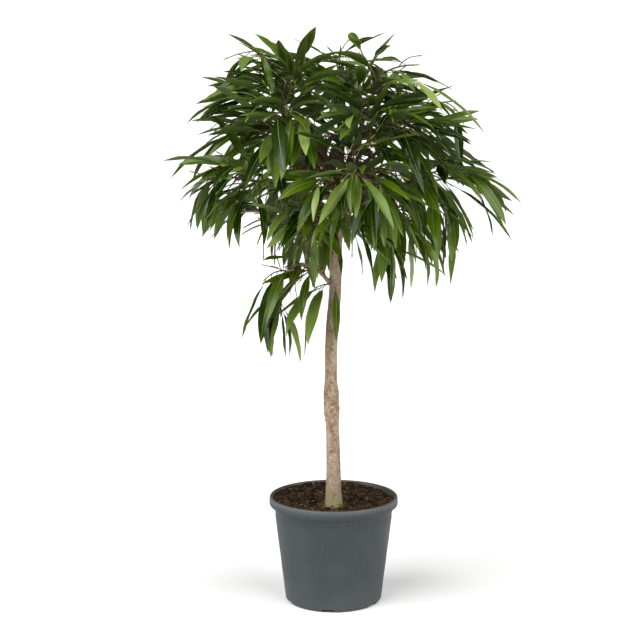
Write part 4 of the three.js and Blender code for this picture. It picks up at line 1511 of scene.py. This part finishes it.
# %% Soil material
def soil_material(name, dark, middle, pale, size):
    """Moist peat: matt and crumbly, darkest where its grains lie low: the peat's own dark tone and painted
    shade in the hollows.
    """
    material, tree, shader = new_material(name, 0.95, 1.4)
    place = stretched(tree, (1, 1, 1))
    grains = noise_at(tree, place, size, 4, 0.65)
    clods = noise_at(tree, place, 16, 2)
    # Dark where the grains are low, as in the bump: partly the peat's own tone, partly painted shade in the
    # hollows.
    tone_and_hollow_shade = blend(tree, 0.45, grains, clods)
    tree.links.new(ramp(tree, tone_and_hollow_shade, [(0.4, dark), (0.5, middle), (0.6, pale)]), shader.inputs["Base Color"])
    add_bump(tree, shader, grains, 2.0)
    return material


# %% Soil bed
SOIL = {"level": 207, "brim": 230, "curve": 1.3, "flat": 22, "clear": 1, "foot": 4.3}
# The bed's own outline: where its side starts, how much that corner is cut, and its rings on top.
BED = {"side from": 11, "cut": 7, "rings": 60, "middle": (16, 10, 4, ON_AXIS)}
LUMP = {"height": 1.6, "width": 9, "share": 0.5, "turn": 2}
# Height and width of the clods, from large to small, and their share.
SOIL_CLODS = [(2.0, 13), (1.4, 6), (0.8, 3)]
CLOD_SHARE = 0.8
# The relief is calmer round the stem: how far out that goes, and its share there.
ROUND_STEM = {"over": 14, "least": 0.25}
HOLLOWS = [{"turn": 20, "depth": 8, "width": 26}, {"turn": 155, "depth": 2, "width": 22}]
SOIL_SIDES = 160
INSIDE_LEVELS = [10, STEP_LEVEL - STEP["height"], RIM_FOOT - POT["wall"], POT["height"] - LIP["bevel"]]
INSIDE_RADII = [POT["base"], wall_radius(STEP_LEVEL) - STEP["in"], POT["neck"], LIP["inner"] + POT["wall"]]


def soil_limit(level):
    """How far out the soil may reach at a level, just clear of the pot's inside."""
    return np.interp(level, INSIDE_LEVELS, INSIDE_RADII) - POT["wall"] - SOIL["clear"]


def soil_profile():
    """The bed's outline from the middle of its underside up the wall and over its dished top."""
    under = [(ON_AXIS, SOIL["foot"]), (soil_limit(BED["side from"]) - BED["cut"], SOIL["foot"])]
    side = [(soil_limit(level), level) for level in (BED["side from"], *INSIDE_LEVELS[1:3])]
    out = np.linspace(1, 0, BED["rings"])
    radius = SOIL["flat"] + (soil_limit(SOIL["brim"]) - SOIL["flat"]) * out
    top = list(zip(radius, SOIL["level"] + (SOIL["brim"] - SOIL["level"]) * out ** SOIL["curve"]))
    middle = [(radius, SOIL["level"]) for radius in BED["middle"]]
    return np.array(under + side + top + middle), len(under + side)


def soil_relief(x, y, z):
    """How far the soil's top lies below its dished form: lumps, hollows at the wall, and clods."""
    wide, narrow = LUMP["width"] * 2, LUMP["width"]
    lumps = np.sin(x / narrow + LUMP["turn"]) * np.cos(y / narrow) + np.sin((x - y) / wide)
    out = np.clip((np.hypot(x, y) - SOIL["flat"]) / (soil_limit(SOIL["brim"]) - SOIL["flat"]), 0, 1)
    turn = np.degrees(np.arctan2(y, x))
    sunk = np.max([h["depth"] * np.exp(-(((turn - h["turn"]) / h["width"]) ** 2)) for h in HOLLOWS], axis=0)
    places = np.stack([x, y, z], axis=1)
    clods = sum(height * noise_of(places, (size, size, size)) for height, size in SOIL_CLODS)
    free = np.clip((np.hypot(x, y) - SOIL["flat"]) / ROUND_STEM["over"], ROUND_STEM["least"], 1)
    rough = LUMP["height"] * (1 - LUMP["share"] * lumps) - clods * CLOD_SHARE
    return rough * free + sunk * out**4


profile, first_top = soil_profile()
bed = link_piece(turned_mesh("soil bed", profile, SOIL_SIDES), "soil_bed")
points, _ = mesh_arrays(bed.data)
top = points[first_top * SOIL_SIDES :]
top[:, 2] -= soil_relief(*top.T)
drawn_in = np.minimum(1, soil_limit(top[:, 2]) / np.maximum(np.hypot(top[:, 0], top[:, 1]), 1))
top[:, :2] *= drawn_in[:, None]
set_points(bed.data, points)
bed.data.materials.append(soil_material("moist potting peat", "090502", "23150A", "4D3824", 6))
bed.data.shade_smooth()
hand_in(bed, ["soil"])
print("the bed's top is at", round(float(top[:, 2].max()), 1), "mm")

# %% A tree that scatters crumbs
# A stone lies only where the ground's normal points up at least this much.
LEAST_UP = 0.3

floats = {name: "Float" for name in ("Density", "Least", "Most", "Flatness")}
scatter_tree, given = new_tree("crumbs on soil", {**floats, "Seed": "Int", "Material": "Material"})
normal_up = part_of(scatter_tree, add_node(scatter_tree, "GeometryNodeInputNormal").outputs[0], "Z")
limits = {0: normal_up, 1: LEAST_UP}
facing_up = add_node(scatter_tree, "FunctionNodeCompare", {"operation": "GREATER_THAN"}, limits)
spread = add_node(
    scatter_tree,
    "GeometryNodeDistributePointsOnFaces",
    inputs={
        "Mesh": given["Geometry"],
        "Selection": facing_up.outputs[0],
        "Density": given["Density"],
        "Seed": given["Seed"],
    },
)
stone = add_node(scatter_tree, "GeometryNodeMeshIcoSphere", inputs={"Radius": 1.0, "Subdivisions": 1})
sizes = {"Min": given["Least"], "Max": given["Most"], "Seed": given["Seed"]}
size = add_node(scatter_tree, "FunctionNodeRandomValue", {"data_type": "FLOAT"}, sizes)
turns = {"Min": (-0.5, -0.5, 0), "Max": (0.5, 0.5, math.tau)}
turn = add_node(scatter_tree, "FunctionNodeRandomValue", {"data_type": "FLOAT_VECTOR"}, turns)
squash = {"X": 1.0, "Y": 0.75, "Z": given["Flatness"]}
squashed = add_node(scatter_tree, "ShaderNodeCombineXYZ", inputs=squash)
scaling = {"Vector": squashed.outputs[0], "Scale": live_output(size)}
scaled = add_node(scatter_tree, "ShaderNodeVectorMath", {"operation": "SCALE"}, scaling)
placed = add_node(
    scatter_tree,
    "GeometryNodeInstanceOnPoints",
    inputs={
        "Points": spread.outputs["Points"],
        "Instance": stone.outputs["Mesh"],
        "Rotation": live_output(turn),
        "Scale": scaled.outputs[0],
    },
)
end_tree(scatter_tree, placed.outputs["Instances"], given["Material"])

# %% Scatter crumbs, chips and flecks
# For each kind: how many on a square metre, the least and most radius in millimetres, flatness and seed,
# then its material's name, its dark, middle and pale colour, and the size of its grain.
CRUMBS = {
    "soil_crumbs": [(17000, 0.8, 3.8, 0.7, 3), ("dark peat crumbs", "0E0804", "281A0D", "674F33", 3)],
    "bark_chips": [(7000, 1.0, 3.8, 0.35, 8), ("composted bark chips", "302115", "554029", "957A54", 4)],
    "pale_flecks": [(2600, 0.5, 1.6, 0.6, 12), ("pale wood flecks", "7A6142", "A08660", "BDA67C", 4)],
}

for name, ((density, least, most, flatness, seed), paint) in CRUMBS.items():
    values = {"Density": float(density), "Least": least * MM, "Most": most * MM, "Flatness": flatness}
    values |= {"Seed": seed, "Material": soil_material(*paint)}
    piece = run_tree(scatter_tree, bed.data, name, values)
    piece.data.shade_smooth()
    hand_in(piece, ["soil"])

# %% Fibres round the stem's foot
FIBRE = {"count": 190, "steps": 5, "shortest": 5, "longest": 20, "radius": 0.55, "tip": 0.5}
FIBRE |= {"sides": 4, "seed": 31, "curl": 0.5, "rise": 0.5, "drop": 0.25}
# How far out the fibres lie, and how far up the stem's foot the nearest ones climb.
FIBRE_PLACE = {"near": 18, "far": 48, "sunk": 0.6, "climb": 7, "climb over": 6}
fibre_lines = []
draw = draws_from(FIBRE["seed"])
for _ in range(FIBRE["count"]):
    angle, away = draw() * math.tau, mix(FIBRE_PLACE["near"], FIBRE_PLACE["far"], draw() ** 4)
    closeness = max(0, 1 - (away - FIBRE_PLACE["near"]) / FIBRE_PLACE["climb over"])
    climb = FIBRE_PLACE["climb"] * draw() * closeness
    heading, length = draw() * math.tau, mix(FIBRE["shortest"], FIBRE["longest"], draw())
    curl = draw() * 2 - 1
    level = SOIL["level"] - FIBRE_PLACE["sunk"] + climb
    line = [np.array([math.cos(angle) * away, math.sin(angle) * away, level])]
    for k in range(FIBRE["steps"]):
        turned = heading + curl * k * FIBRE["curl"]
        way = np.array([math.cos(turned), math.sin(turned), FIBRE["rise"] - FIBRE["drop"] * k])
        line.append(line[-1] + way * length / FIBRE["steps"])
    fibre_lines.append(np.array(line))
fibre_radius = np.linspace(FIBRE["radius"], FIBRE["radius"] * FIBRE["tip"], FIBRE["steps"] + 1)
fibre_radii = [fibre_radius for _ in fibre_lines]
fibre_paint = soil_material("dry pale root fibres", "4A4022", "6C6034", "948856", 6)
values = {"Sides": FIBRE["sides"], "Material": fibre_paint}
fibre_mesh = lines_mesh("fibre lines", fibre_lines, fibre_radii)
hand_in(run_tree(tube_tree, fibre_mesh, "soil_fibres", values), ["soil"])
